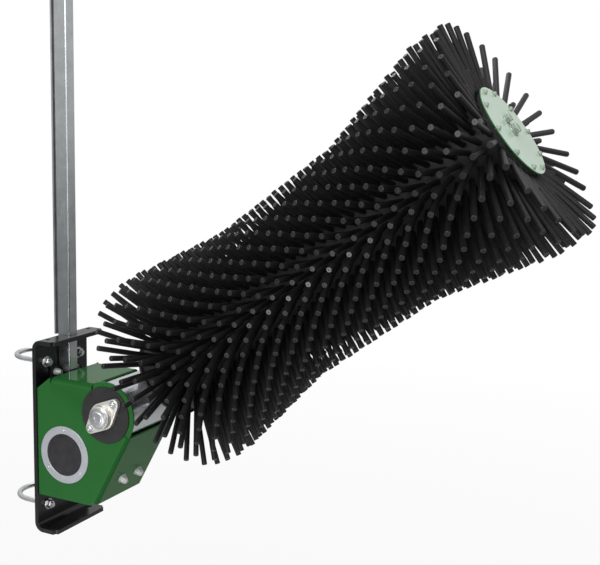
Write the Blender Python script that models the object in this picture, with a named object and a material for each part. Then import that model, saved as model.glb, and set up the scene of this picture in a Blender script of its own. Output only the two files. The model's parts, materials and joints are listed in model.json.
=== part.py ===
"""Rotating cow brush on a tilting neck, with the bracket that clamps it to a post.

Metres, +Z up. The origin is the middle of the bracket's rear face, where it meets the post.
+X points away from the post, Y runs along the pivot drum, and the near side is at -Y.
The neck and the brush are modelled along their own +X and stand on empties at the pivot.
"""

import math

import bmesh
import bpy
from mathutils import Matrix, Vector

GAP = 0.0003  # clearance between pieces that touch
MERGE_DISTANCE = 1e-6

# Post bracket, a bent plate
BRACKET_WALL = 0.010
BRACKET_WIDTH = 0.190
BRACKET_HEIGHT = 0.464
BRACKET_REACH = 0.0625
BRACKET_BEND = 0.022
BRACKET_CORNER = 0.008
FLANGE_HOLE_RADIUS = 0.0055
FLANGE_HOLE_SPACING = 0.149
FLANGE_HOLE_X = 0.030

# U-bolts and their nuts
POST_RADIUS = 0.051
U_BOLT_ROD = 0.006
U_BOLT_INSET = 0.0575
U_BOLT_THREAD = 0.016
NUT_ACROSS = 0.019
NUT_HEIGHT = 0.010
WASHER_RADIUS = 0.0135
WASHER_WALL = 0.0025
BORE_CLEARANCE = 0.0005

# Mast tube that stands on the stop bracket and passes through the top flange
MAST_DEPTH = 0.035
MAST_WIDTH = 0.030
MAST_WALL = 0.0025
MAST_CORNER = 0.003
MAST_TOP = 1.060
MAST_CAP_HEIGHT = 0.004
MAST_SLOT_CLEARANCE = 0.0015

# Folded housing
SHEET = 0.004
SHEET_BEND = 0.012
HOUSING_WIDTH = 0.182
HOUSING_BOTTOM = -0.140
HOUSING_TOP = 0.1475
HOUSING_REAR_TOP = 0.118
TOP_PLATE_REAR = 0.051
RELIEF = 0.003

# Pivot
PIVOT_X = 0.2063
PIVOT_Z = 0.0821
NOSE_RADIUS = 0.0765
FRONT_SLOPE = math.radians(62.0)
FRONT_TOP_DROP = 0.010
PIVOT_DISC_RADIUS = 0.065
PIVOT_DISC_WALL = 0.003
TRUNNION_RADIUS = 0.015
TRUNNION_CLEARANCE = 0.0015

# Flange bearings
BEARING_BOLT_SPACING = 0.090
BEARING_ANGLE = math.radians(45.0)
BEARING_BASE = 0.012
BEARING_BODY_RADIUS = 0.031
BEARING_EAR_RADIUS = 0.0125
BEARING_BOSS_RADIUS = 0.027
BEARING_HEIGHT = 0.024
BEARING_CAP_HEIGHT = 0.007
BEARING_CAP_CHAMFER = 0.004
BEARING_BOLT_RADIUS = 0.0085
BEARING_BOLT_HEIGHT = 0.006

# Badge ring and plain plate on the near side
BADGE_X = 0.089
BADGE_Z = -0.0305
BADGE_RADIUS = 0.068
BADGE_INNER_RADIUS = 0.050
BADGE_WALL = 0.003
BADGE_PLATE_WALL = 0.002

# Dome bolts, stop bracket and buffers
DOME_BOLT_RADIUS = 0.0085
DOME_BOLT_HEIGHT = 0.012
DOME_SHANK_RADIUS = 0.005
DOME_RIM_SHARE = 0.35
REAR_BOLT_SPACING = 0.064
REAR_BOLT_Z = 0.146
STOP_BRACKET_WIDTH = 0.090
STOP_BRACKET_WALL = 0.006
STOP_BRACKET_TOP = 0.159
STOP_SHELF_BOTTOM = 0.131
STOP_SHELF_REACH = 0.085
STOP_PAD_WIDTH = 0.070
STOP_PAD_LENGTH = 0.030
STOP_PAD_HEIGHT = 0.005
BUFFER_RADIUS = 0.020
BUFFER_HEIGHT = 0.059
BUFFER_WAIST_SHARE = 0.85
BUFFER_SPACING = 0.062
BUFFER_REACH = 0.150

# Neck, turned up from level by the rest tilt
REST_TILT = math.radians(37.0)
DRUM_RADIUS = 0.070
DRUM_WALL = 0.004
DRUM_SIDE_CLEARANCE = 0.0017
DRUM_END_WALL = 0.0045
DRUM_SPIGOT = 0.005
NECK_RADIUS = 0.030
NECK_WALL = 0.005
NECK_END = 0.235
MOTOR_RADIUS = 0.055
MOTOR_LENGTH = 0.240
MOTOR_FIN_DEPTH = 0.004
MOTOR_FINS = 12
MOTOR_FIN_TAPER = 0.6
GEARBOX_RADIUS = 0.048
GEARBOX_LENGTH = 0.070
GEARBOX_NOSE_SHARE = 0.7
LEVER_REACH = 0.170
LEVER_WIDTH = 0.100
LEVER_THICKNESS = 0.020

# Brush
CORE_START = 0.1407
CORE_END = 1.093
END_DISC_RADIUS = 0.094
END_DISC_WALL = 0.008
END_DISC_CHAMFER = 0.0015
FAR_PLATE_RADIUS = 0.0925
FAR_PLATE_WALL = 0.006
NEAR_PLATE_RADIUS = 0.095
NEAR_PLATE_WALL = 0.006
CORE_TUBE_RADIUS = 0.080
CORE_TUBE_WALL = 0.004
SHAFT_RADIUS = 0.0125
HUB_WALL = 0.016
HUB_BOSS_RADIUS = 0.028
HUB_BOSS_LENGTH = 0.040
CENTRE_BOLT_RADIUS = 0.012
SIDE_BOLT_RADIUS = 0.0075
SIDE_BOLT_OFFSET = 0.026
END_BOLT_HEIGHT = 0.008

# Bristles
RING_COUNT = 4
ROWS_PER_RING = 9
BRISTLES_PER_ROW = 30
RING_RADIUS = 0.090
BRISTLE_RADIUS = 0.0062
TIP_MIDDLE = 0.639
TIP_PITCH = 0.02626
END_LEAN = 0.0135
LEANING_ROWS = 5
WAIST_RADIUS = 0.186
NEAR_WAIST_END = 0.464
FAR_WAIST_END = 0.785
NEAR_SLOPE = 0.186
FAR_SLOPE = 0.222
FLARE_RADIUS = 0.238

ROUND_STEPS = 36
MEDIUM_ROUND_STEPS = 24
SMALL_ROUND_STEPS = 10

X_AXIS = Vector((1, 0, 0))
Y_AXIS = Vector((0, 1, 0))
Z_AXIS = Vector((0, 0, 1))


def clear_scene():
    """Remove whatever the open file holds."""
    for item in list(bpy.data.objects):
        bpy.data.objects.remove(item, do_unlink=True)


def make_material(name, colour, roughness, metallic):
    """A Principled material in one colour."""
    material = bpy.data.materials.new(name)
    material.use_nodes = True
    shader = material.node_tree.nodes["Principled BSDF"]
    shader.inputs["Base Color"].default_value = (*colour, 1.0)
    shader.inputs["Roughness"].default_value = roughness
    shader.inputs["Metallic"].default_value = metallic
    return material


def finish_object(name, mesh_data, material, parent=None):
    """Turn a bmesh into a named object, with round sides shaded smooth."""
    bmesh.ops.recalc_face_normals(mesh_data, faces=mesh_data.faces)
    mesh = bpy.data.meshes.new(name)
    mesh_data.to_mesh(mesh)
    mesh_data.free()
    mesh.shade_smooth()
    mesh.set_sharp_from_angle(angle=math.radians(30))
    item = bpy.data.objects.new(name, mesh)
    bpy.context.collection.objects.link(item)
    if material is not None:
        mesh.materials.append(material)
    item.parent = parent
    return item


def combine(target, other, operation):
    """Join or cut target by other, which becomes a hidden guide."""
    other.hide_render = True
    other.display_type = "WIRE"
    modifier = target.modifiers.new(other.name, "BOOLEAN")
    modifier.operation = operation
    modifier.solver = "EXACT"
    modifier.object = other


def cut(target, other):
    """Take other's shape out of target."""
    combine(target, other, "DIFFERENCE")


def join(target, other):
    """Fuse other's shape with target."""
    combine(target, other, "UNION")


def arc(centre, radius, start, end, steps):
    """Points on an arc, both ends included; angles in radians."""
    return [
        (
            centre[0] + radius * math.cos(start + (end - start) * i / steps),
            centre[1] + radius * math.sin(start + (end - start) * i / steps),
        )
        for i in range(steps + 1)
    ]


def circle(centre, radius, steps):
    """Points once round a circle."""
    return arc(centre, radius, 0.0, 2 * math.pi * (steps - 1) / steps, steps - 1)


def rounded_box(width, height, radius, steps=3):
    """Outline of a box with round corners, centred on zero."""
    x, y = width / 2 - radius, height / 2 - radius
    points = []
    for turn, (cx, cy) in enumerate(((x, y), (-x, y), (-x, -y), (x, -y))):
        start = turn * math.pi / 2
        points += arc((cx, cy), radius, start, start + math.pi / 2, steps)
    return points


def prism(outline, length, origin=(0, 0, 0), u=X_AXIS, v=Y_AXIS, holes=()):
    """Extrude a flat outline, laid out along u and v, by length along u x v."""
    mesh_data = bmesh.new()
    w = u.cross(v)
    base = Vector(origin)
    edges = []
    for loop in (outline, *holes):
        points = [mesh_data.verts.new(base + u * a + v * b) for a, b in loop]
        edges += [mesh_data.edges.new((p, q)) for p, q in zip(points, points[1:] + points[:1])]
    if holes:
        bmesh.ops.triangle_fill(mesh_data, edges=edges, use_beauty=True)
    else:
        bmesh.ops.contextual_create(mesh_data, geom=edges)
    sides = bmesh.ops.extrude_face_region(mesh_data, geom=mesh_data.faces[:])
    moved = [g for g in sides["geom"] if isinstance(g, bmesh.types.BMVert)]
    bmesh.ops.translate(mesh_data, verts=moved, vec=w * length)
    return mesh_data


def turned(profile, steps, origin=(0, 0, 0), axis=X_AXIS, out=Z_AXIS):
    """Spin a profile of (along, radius) points round an axis.

    A profile that starts and ends on the axis gives a solid; any other is closed into a ring.
    """
    mesh_data = bmesh.new()
    base = Vector(origin)
    points = [mesh_data.verts.new(base + axis * a + out * r) for a, r in profile]
    pairs = list(zip(points, points[1:]))
    if profile[0][1] > 0:
        pairs.append((points[-1], points[0]))
    edges = [mesh_data.edges.new(pair) for pair in pairs]
    bmesh.ops.spin(
        mesh_data,
        geom=points + edges,
        cent=base,
        axis=axis,
        angle=2 * math.pi,
        steps=steps,
        use_merge=True,
    )
    bmesh.ops.remove_doubles(mesh_data, verts=mesh_data.verts, dist=MERGE_DISTANCE)
    return mesh_data


def ring_profile(start, end, inner, outer):
    """Cross-section of a plain ring or tube."""
    return [(start, inner), (start, outer), (end, outer), (end, inner)]


def disc_profile(start, end, radius, chamfer=0.0):
    """Cross-section of a solid disc, with its far rim chamfered."""
    if chamfer:
        return [(start, 0), (start, radius), (end - chamfer, radius), (end, radius - chamfer), (end, 0)]
    return [(start, 0), (start, radius), (end, radius), (end, 0)]


def dome_profile(start, height, radius, steps=3):
    """Cross-section of a dome head that stands on a flat."""
    rim = start + height * DOME_RIM_SHARE
    rise = height * (1 - DOME_RIM_SHARE)
    points = [(start, 0), (start, radius)]
    for across, upward in arc((0, 0), 1.0, 0.0, math.pi / 2, steps):
        points.append((rim + rise * upward, radius * across))
    points[-1] = (start + height, 0)
    return points


def swept_rod(path, radius, sides):
    """A round rod with capped ends along a path of points in one plane of constant Z."""
    mesh_data = bmesh.new()
    rings = []
    for i, point in enumerate(path):
        before = path[max(i - 1, 0)]
        after = path[min(i + 1, len(path) - 1)]
        along = (after - before).normalized()
        side = along.cross(Z_AXIS)
        ring = []
        for k in range(sides):
            angle = 2 * math.pi * (k + 0.5) / sides
            offset = side * math.cos(angle) + Z_AXIS * math.sin(angle)
            ring.append(mesh_data.verts.new(point + offset * radius))
        rings.append(ring)
    for low, high in zip(rings, rings[1:]):
        for k in range(sides):
            n = (k + 1) % sides
            mesh_data.faces.new((low[k], low[n], high[n], high[k]))
    mesh_data.faces.new(rings[0])
    mesh_data.faces.new(rings[-1])
    return mesh_data


def make_materials():
    """The finishes, by the name of what wears them."""
    return {
        "black_paint": make_material("black_paint", (0.030, 0.030, 0.033), 0.35, 0.0),
        "green_paint": make_material("green_paint", (0.035, 0.16, 0.045), 0.30, 0.0),
        "zinc": make_material("zinc", (0.62, 0.63, 0.65), 0.35, 1.0),
        "mast_steel": make_material("mast_steel", (0.55, 0.58, 0.60), 0.20, 1.0),
        "drum_steel": make_material("drum_steel", (0.70, 0.72, 0.73), 0.15, 1.0),
        "dark_steel": make_material("dark_steel", (0.10, 0.10, 0.11), 0.45, 0.6),
        "bearing_paint": make_material("bearing_paint", (0.60, 0.58, 0.54), 0.40, 0.0),
        "disc_black": make_material("disc_black", (0.040, 0.038, 0.040), 0.50, 0.0),
        "badge_metal": make_material("badge_metal", (0.45, 0.46, 0.50), 0.40, 0.5),
        "badge_face": make_material("badge_face", (0.035, 0.033, 0.035), 0.50, 0.0),
        "buffer_rubber": make_material("buffer_rubber", (0.02, 0.02, 0.02), 0.80, 0.0),
        "bristle_plastic": make_material("bristle_plastic", (0.018, 0.018, 0.019), 0.45, 0.0),
        "core_plastic": make_material("core_plastic", (0.045, 0.045, 0.047), 0.50, 0.0),
        "end_disc_paint": make_material("end_disc_paint", (0.10, 0.30, 0.14), 0.25, 0.0),
        "motor_paint": make_material("motor_paint", (0.20, 0.22, 0.24), 0.50, 0.2),
    }


def bracket_outline():
    """Side view of the bent bracket, as (x, z) points."""
    top = BRACKET_HEIGHT / 2
    inner_bend = BRACKET_BEND - BRACKET_WALL
    centre_x, centre_z = BRACKET_BEND, top - BRACKET_BEND
    outer = arc((centre_x, centre_z), BRACKET_BEND, math.pi / 2, math.pi, 6)
    inner = arc((centre_x, centre_z), inner_bend, math.pi, math.pi / 2, 6)
    upper_outer = [(BRACKET_REACH, top)] + outer
    upper_inner = inner + [(BRACKET_REACH, top - BRACKET_WALL)]
    lower_outer = [(x, -z) for x, z in reversed(upper_outer)]
    lower_inner = [(x, -z) for x, z in reversed(upper_inner)]
    return upper_outer + lower_outer + lower_inner + upper_inner


def build_bracket(materials):
    """Back plate with a top and a bottom flange, and holes for the U-bolts and the mast."""
    width = BRACKET_WIDTH
    mesh_data = prism(bracket_outline(), width, (0, width / 2, 0), X_AXIS, Z_AXIS)
    corners = [
        edge
        for edge in mesh_data.edges
        if all(abs(v.co.x - BRACKET_REACH) < 1e-6 for v in edge.verts)
        and abs(edge.verts[0].co.y - edge.verts[1].co.y) < 1e-6
    ]
    bmesh.ops.bevel(mesh_data, geom=corners, offset=BRACKET_CORNER, segments=3, affect="EDGES")
    bracket = finish_object("bracket", mesh_data, materials["black_paint"])
    reach = BRACKET_WALL * 3
    for name, y, z in u_bolt_places():
        hole = circle((y, z), U_BOLT_ROD + BORE_CLEARANCE, SMALL_ROUND_STEPS)
        body = prism(hole, reach, (-BRACKET_WALL, 0, 0), Y_AXIS, Z_AXIS)
        cut(bracket, finish_object(name + "_bore", body, None))
    for side in (-1, 1):
        hole = circle(
            (FLANGE_HOLE_X, side * FLANGE_HOLE_SPACING / 2), FLANGE_HOLE_RADIUS, SMALL_ROUND_STEPS
        )
        body = prism(hole, BRACKET_HEIGHT * 2, (0, 0, -BRACKET_HEIGHT))
        cut(bracket, finish_object("flange_bore", body, None))
    clear = 2 * MAST_SLOT_CLEARANCE
    slot = rounded_box(MAST_DEPTH + clear, MAST_WIDTH + clear, MAST_CORNER)
    middle = (BRACKET_WALL + GAP + MAST_DEPTH / 2, 0, BRACKET_HEIGHT / 2 - 2 * BRACKET_WALL)
    slot_reach = 3 * BRACKET_WALL
    cut(bracket, finish_object("mast_slot", prism(slot, slot_reach, middle), None))
    return bracket


def u_bolt_rows():
    """Name and height of each U-bolt."""
    height = BRACKET_HEIGHT / 2 - U_BOLT_INSET
    return (("upper", height), ("lower", -height))


def u_bolt_places():
    """Name, y and z of each U-bolt leg."""
    spacing = POST_RADIUS + U_BOLT_ROD + BORE_CLEARANCE * 4
    places = []
    for row, z in u_bolt_rows():
        for side, y in (("left", -spacing), ("right", spacing)):
            places.append((f"{row}_{side}_nut", y, z))
    return places


def build_u_bolts(materials):
    """U-bolts round the post, with a flanged nut on each leg."""
    tip = BRACKET_WALL + U_BOLT_THREAD
    for row, z in u_bolt_rows():
        spacing = u_bolt_places()[1][1]
        bend = arc((-POST_RADIUS, 0), spacing, -math.pi / 2, -3 * math.pi / 2, 14)
        path = [(tip, -spacing)] + bend + [(tip, spacing)]
        points = [Vector((x, y, z)) for x, y in path]
        finish_object(f"{row}_u_bolt", swept_rod(points, U_BOLT_ROD, 8), materials["zinc"])
    bore = U_BOLT_ROD + BORE_CLEARANCE
    for name, y, z in u_bolt_places():
        start = BRACKET_WALL + GAP
        washer = turned(
            ring_profile(start, start + WASHER_WALL, bore, WASHER_RADIUS), SMALL_ROUND_STEPS, (0, y, z)
        )
        nut = finish_object(name, washer, materials["zinc"])
        hexagon = circle((y, z), NUT_ACROSS / math.sqrt(3), 6)
        hole = circle((y, z), bore, SMALL_ROUND_STEPS)
        sunk = WASHER_WALL / 2
        body = prism(
            hexagon, NUT_HEIGHT + sunk, (start + sunk, 0, 0), Y_AXIS, Z_AXIS, holes=(hole,)
        )
        join(nut, finish_object(name + "_hexagon", body, None))


def build_mast(materials):
    """Square tube from the stop bracket's shelf up through the flange, and its cap."""
    foot = STOP_SHELF_BOTTOM + STOP_BRACKET_WALL + GAP
    middle_x = BRACKET_WALL + GAP + MAST_DEPTH / 2
    outer = rounded_box(MAST_DEPTH, MAST_WIDTH, MAST_CORNER)
    inner = rounded_box(MAST_DEPTH - 2 * MAST_WALL, MAST_WIDTH - 2 * MAST_WALL, MAST_CORNER / 3)
    tube = prism(outer, MAST_TOP - foot, (middle_x, 0, foot), holes=(inner,))
    finish_object("mast_tube", tube, materials["mast_steel"])
    cap_base = (middle_x, 0, MAST_TOP + GAP)
    cap = finish_object("mast_cap", prism(outer, MAST_CAP_HEIGHT, cap_base), materials["disc_black"])
    plug_clear = 2 * (MAST_WALL + GAP)
    plug = rounded_box(MAST_DEPTH - plug_clear, MAST_WIDTH - plug_clear, MAST_CORNER / 3)
    plug_depth = 4 * MAST_CAP_HEIGHT
    body = prism(plug, plug_depth, (middle_x, 0, MAST_TOP + GAP + MAST_CAP_HEIGHT / 2 - plug_depth))
    join(cap, finish_object("mast_plug", body, None))


def front_direction():
    """Unit vector up the slanted front plate, and the plate's outward normal."""
    up = Vector((math.cos(FRONT_SLOPE), 0, math.sin(FRONT_SLOPE)))
    normal = Vector((math.sin(FRONT_SLOPE), 0, -math.cos(FRONT_SLOPE)))
    return up, normal


def pivot_point():
    """Centre of the drum."""
    return Vector((PIVOT_X, 0, PIVOT_Z))


def front_plate_ends():
    """Top and bottom of the slanted plate's outer face, in the middle plane."""
    up, normal = front_direction()
    touch = pivot_point() + normal * NOSE_RADIUS
    top = touch - up * FRONT_TOP_DROP
    bottom = touch - up * ((touch.z - HOUSING_BOTTOM) / up.z)
    return top, bottom


def folded_channel():
    """Cross-section of sheet folded down at both sides, outer face at zero height."""
    half = HOUSING_WIDTH / 2
    leg = SHEET_BEND + SHEET
    inner = SHEET_BEND - SHEET
    left = arc((-half + SHEET_BEND, -SHEET_BEND), SHEET_BEND, math.pi, math.pi / 2, 4)
    right = arc((half - SHEET_BEND, -SHEET_BEND), SHEET_BEND, math.pi / 2, 0, 4)
    right_inner = arc((half - SHEET_BEND, -SHEET_BEND), inner, 0, math.pi / 2, 4)
    left_inner = arc((-half + SHEET_BEND, -SHEET_BEND), inner, math.pi / 2, math.pi, 4)
    outside = [(-half, -leg)] + left + right + [(half, -leg)]
    inside = [(half - SHEET, -leg)] + right_inner + left_inner + [(-half + SHEET, -leg)]
    return outside + inside


def side_plate_outline():
    """Flat of a side plate as (x, z), short of the folds by the bend."""
    up, normal = front_direction()
    nose = (PIVOT_X, PIVOT_Z)
    top_rise = HOUSING_TOP - PIVOT_Z
    start = math.pi - math.asin(top_rise / NOSE_RADIUS)
    end = FRONT_SLOPE - math.pi / 2
    nose_arc = arc(nose, NOSE_RADIUS, start, end, 20)
    fold_z = HOUSING_TOP - SHEET_BEND
    nose_rear = nose_arc[0][0]
    front_top, front_bottom = front_plate_ends()
    inset_top = front_top - normal * SHEET_BEND
    inset_bottom = front_bottom - normal * SHEET_BEND
    inset_bottom -= up * ((inset_bottom.z - HOUSING_BOTTOM) / up.z)
    rear = BRACKET_WALL + GAP
    return (
        [(rear, HOUSING_BOTTOM), (rear, HOUSING_REAR_TOP)]
        + [(TOP_PLATE_REAR - RELIEF, HOUSING_TOP), (TOP_PLATE_REAR - RELIEF, fold_z)]
        + [(nose_rear + RELIEF, fold_z)]
        + [p for p in nose_arc if p[0] > nose_rear + RELIEF]
        + [(front_top.x, front_top.z), (inset_top.x, inset_top.z)]
        + [(inset_bottom.x, inset_bottom.z)]
    )


def build_housing(materials):
    """One folded sheet: side plates, top plate and slanted front, open at the nose and below."""
    half = HOUSING_WIDTH / 2
    outline = side_plate_outline()
    hole = circle((PIVOT_X, PIVOT_Z), TRUNNION_RADIUS + TRUNNION_CLEARANCE, MEDIUM_ROUND_STEPS)
    near = prism(outline, SHEET, (0, -half + SHEET, 0), X_AXIS, Z_AXIS, holes=(hole,))
    housing = finish_object("housing_shell", near, materials["green_paint"])
    far = prism(outline, SHEET, (0, half, 0), X_AXIS, Z_AXIS, holes=(hole,))
    join(housing, finish_object("far_side_plate", far, None))
    nose_rear = PIVOT_X - math.sqrt(NOSE_RADIUS**2 - (HOUSING_TOP - PIVOT_Z) ** 2)
    top_length = nose_rear - TOP_PLATE_REAR
    top = prism(folded_channel(), top_length, (TOP_PLATE_REAR, 0, HOUSING_TOP), Y_AXIS, Z_AXIS)
    join(housing, finish_object("top_fold", top, None))
    up, normal = front_direction()
    front_top, front_bottom = front_plate_ends()
    start = front_bottom + up * RELIEF
    length = (front_top - start).length - RELIEF
    front = prism(folded_channel(), length, start, -Y_AXIS, normal)
    join(housing, finish_object("front_fold", front, None))
    for side in (-1, 1):
        base = buffer_base(side) - normal * SHEET
        shank = circle((0, 0), DOME_SHANK_RADIUS + BORE_CLEARANCE, 2 * SMALL_ROUND_STEPS)
        bore = prism(shank, 4 * SHEET, base, Y_AXIS, up)
        cut(housing, finish_object("front_bolt_bore", bore, None))
    return housing


def buffer_base(side):
    """Where a front buffer meets the inside of the slanted plate."""
    up, normal = front_direction()
    inside = pivot_point() + normal * (NOSE_RADIUS - SHEET)
    return inside - up * BUFFER_REACH + Y_AXIS * (side * BUFFER_SPACING / 2)


def side_frame(side):
    """Axis out of the housing on one side, and the plane of its side plate."""
    return Y_AXIS * side, Vector((PIVOT_X, side * HOUSING_WIDTH / 2, PIVOT_Z))


def build_pivot_side(materials, side, label):
    """Pivot disc, flange bearing, cap and two bolts on one side plate."""
    out, centre = side_frame(side)
    bore = TRUNNION_RADIUS + GAP
    disc_start = GAP
    disc_end = disc_start + PIVOT_DISC_WALL
    disc = ring_profile(disc_start, disc_end, TRUNNION_RADIUS + TRUNNION_CLEARANCE, PIVOT_DISC_RADIUS)
    finish_object(
        f"{label}_pivot_disc", turned(disc, ROUND_STEPS, centre, out), materials["disc_black"]
    )
    base_start = disc_end + GAP
    reach = BEARING_BOLT_SPACING / 2
    tangent = math.acos((BEARING_BODY_RADIUS - BEARING_EAR_RADIUS) / reach)
    half_outline = arc((reach, 0), BEARING_EAR_RADIUS, -tangent, tangent, 6)
    half_outline += arc((0, 0), BEARING_BODY_RADIUS, tangent, math.pi - tangent, 8)
    outline = half_outline + [(-a, -b) for a, b in half_outline]
    along = X_AXIS * math.cos(BEARING_ANGLE) + Z_AXIS * math.sin(BEARING_ANGLE)
    across = out.cross(along)
    round_bore = circle((0, 0), bore, MEDIUM_ROUND_STEPS)
    bolt_bores = [
        circle((place, 0), DOME_SHANK_RADIUS + GAP, SMALL_ROUND_STEPS) for place in (-reach, reach)
    ]
    base = prism(
        outline,
        BEARING_BASE,
        centre + out * base_start,
        along,
        across,
        holes=(round_bore, *bolt_bores),
    )
    bearing = finish_object(f"{label}_flange_bearing", base, materials["bearing_paint"])
    boss_profile = ring_profile(
        base_start + BEARING_BASE / 2, base_start + BEARING_HEIGHT, bore, BEARING_BOSS_RADIUS
    )
    boss = turned(boss_profile, MEDIUM_ROUND_STEPS, centre, out)
    join(bearing, finish_object(f"{label}_bearing_boss", boss, None))
    cap_start = base_start + BEARING_HEIGHT + GAP
    cap_end = cap_start + BEARING_CAP_HEIGHT
    cap_profile = disc_profile(cap_start, cap_end, BEARING_BOSS_RADIUS, BEARING_CAP_CHAMFER)
    cap = turned(cap_profile, MEDIUM_ROUND_STEPS, centre, out)
    finish_object(f"{label}_bearing_cap", cap, materials["bearing_paint"])
    head_start = base_start + BEARING_BASE + GAP
    for place, name in ((-reach, "lower"), (reach, "upper")):
        spot = centre + along * place
        profile = dome_profile(head_start, BEARING_BOLT_HEIGHT, BEARING_BOLT_RADIUS)
        shank = [(base_start, 0), (base_start, DOME_SHANK_RADIUS), (head_start, DOME_SHANK_RADIUS)]
        body = turned(shank + profile[1:], SMALL_ROUND_STEPS, spot, out)
        finish_object(f"{label}_{name}_bearing_bolt", body, materials["zinc"])


def build_badge(materials):
    """Ring and plain dark plate on the near side."""
    out, _ = side_frame(-1)
    centre = Vector((BADGE_X, -HOUSING_WIDTH / 2, BADGE_Z))
    ring = ring_profile(GAP, GAP + BADGE_WALL, BADGE_INNER_RADIUS, BADGE_RADIUS)
    finish_object("badge_ring", turned(ring, ROUND_STEPS, centre, out), materials["badge_metal"])
    plate = disc_profile(GAP, GAP + BADGE_PLATE_WALL, BADGE_INNER_RADIUS - GAP)
    finish_object("badge_plate", turned(plate, ROUND_STEPS, centre, out), materials["badge_face"])


def dome_bolt(name, spot, out, shank_length, material):
    """Dome-headed bolt whose head stands at spot and whose shank runs inward."""
    head = dome_profile(GAP, DOME_BOLT_HEIGHT, DOME_BOLT_RADIUS)
    shank = [(-shank_length, 0), (-shank_length, DOME_SHANK_RADIUS), (GAP, DOME_SHANK_RADIUS)]
    side = Y_AXIS if abs(out.y) < 0.5 else Z_AXIS
    body = turned(shank + head[1:], SMALL_ROUND_STEPS, spot, out, side)
    return finish_object(name, body, material)


def build_stops(materials):
    """Stop bracket and pad at the back, and two rubber buffers behind the slanted plate."""
    rear = BRACKET_WALL + GAP
    wall = STOP_BRACKET_WALL
    outline = [
        (rear, STOP_SHELF_BOTTOM),
        (STOP_SHELF_REACH, STOP_SHELF_BOTTOM),
        (STOP_SHELF_REACH, STOP_SHELF_BOTTOM + wall),
        (rear + wall, STOP_SHELF_BOTTOM + wall),
        (rear + wall, STOP_BRACKET_TOP),
        (rear, STOP_BRACKET_TOP),
    ]
    width = STOP_BRACKET_WIDTH
    body = prism(outline, width, (0, width / 2, 0), X_AXIS, Z_AXIS)
    bracket = finish_object("stop_bracket", body, materials["black_paint"])
    notch = rounded_box(4 * wall, MAST_WIDTH + 2 * MAST_SLOT_CLEARANCE, MAST_CORNER)
    notch_base = (rear, 0, STOP_SHELF_BOTTOM + wall)
    cut(bracket, finish_object("mast_notch", prism(notch, STOP_BRACKET_TOP, notch_base), None))
    for side, label in ((-1, "left"), (1, "right")):
        spot = Vector((rear + wall, side * REAR_BOLT_SPACING / 2, REAR_BOLT_Z))
        hole = circle((spot.y, spot.z), DOME_SHANK_RADIUS + BORE_CLEARANCE, 2 * SMALL_ROUND_STEPS)
        bore = prism(hole, 4 * wall, (-wall, 0, 0), Y_AXIS, Z_AXIS)
        cut(bracket, finish_object(f"{label}_rear_bore", bore, None))
        dome_bolt(f"{label}_rear_bolt", spot, X_AXIS, wall, materials["zinc"])
    pad_outline = [
        (STOP_SHELF_REACH - STOP_PAD_LENGTH, -STOP_PAD_WIDTH / 2),
        (STOP_SHELF_REACH, -STOP_PAD_WIDTH / 2),
        (STOP_SHELF_REACH, STOP_PAD_WIDTH / 2),
        (STOP_SHELF_REACH - STOP_PAD_LENGTH, STOP_PAD_WIDTH / 2),
    ]
    pad_base = (0, 0, STOP_SHELF_BOTTOM - GAP - STOP_PAD_HEIGHT)
    finish_object("rear_pad", prism(pad_outline, STOP_PAD_HEIGHT, pad_base), materials["buffer_rubber"])
    up, normal = front_direction()
    for side, label in ((-1, "left"), (1, "right")):
        base = buffer_base(side)
        waist = BUFFER_RADIUS * BUFFER_WAIST_SHARE
        bore = DOME_SHANK_RADIUS + GAP
        depth = 3 * SHEET
        profile = [
            (GAP, bore),
            (GAP, BUFFER_RADIUS),
            (BUFFER_HEIGHT / 2, waist),
            (BUFFER_HEIGHT, BUFFER_RADIUS),
            (BUFFER_HEIGHT, 0),
            (depth, 0),
            (depth, bore),
        ]
        body = turned_cup(profile, base, -normal)
        finish_object(f"{label}_front_buffer", body, materials["buffer_rubber"])
        spot = base + normal * SHEET
        dome_bolt(f"{label}_front_bolt", spot, normal, SHEET + depth - 2 * GAP, materials["zinc"])


def turned_cup(profile, origin, axis):
    """Spin a closed profile that touches the axis along one stretch, such as a blind bore's end."""
    mesh_data = bmesh.new()
    base = Vector(origin)
    points = [mesh_data.verts.new(base + axis * a + Y_AXIS * r) for a, r in profile]
    edges = []
    for first, second in zip(points, points[1:] + points[:1]):
        on_axis = [(p.co - base).cross(axis).length < 1e-7 for p in (first, second)]
        if not all(on_axis):
            edges.append(mesh_data.edges.new((first, second)))
    bmesh.ops.spin(
        mesh_data,
        geom=points + edges,
        cent=base,
        axis=axis,
        angle=2 * math.pi,
        steps=SMALL_ROUND_STEPS,
        use_merge=True,
    )
    bmesh.ops.remove_doubles(mesh_data, verts=mesh_data.verts, dist=MERGE_DISTANCE)
    return mesh_data


def make_pivot():
    """Empty on the drum's axis, turned up by the rest tilt, that carries the neck."""
    pivot = bpy.data.objects.new("arm_pivot", None)
    pivot.location = pivot_point()
    pivot.rotation_euler = (0, -REST_TILT, 0)
    bpy.context.collection.objects.link(pivot)
    return pivot


def make_spindle(pivot):
    """Empty on the brush's axis that carries what spins."""
    spindle = bpy.data.objects.new("brush_spindle", None)
    spindle.parent = pivot
    bpy.context.collection.objects.link(spindle)
    return spindle


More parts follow.
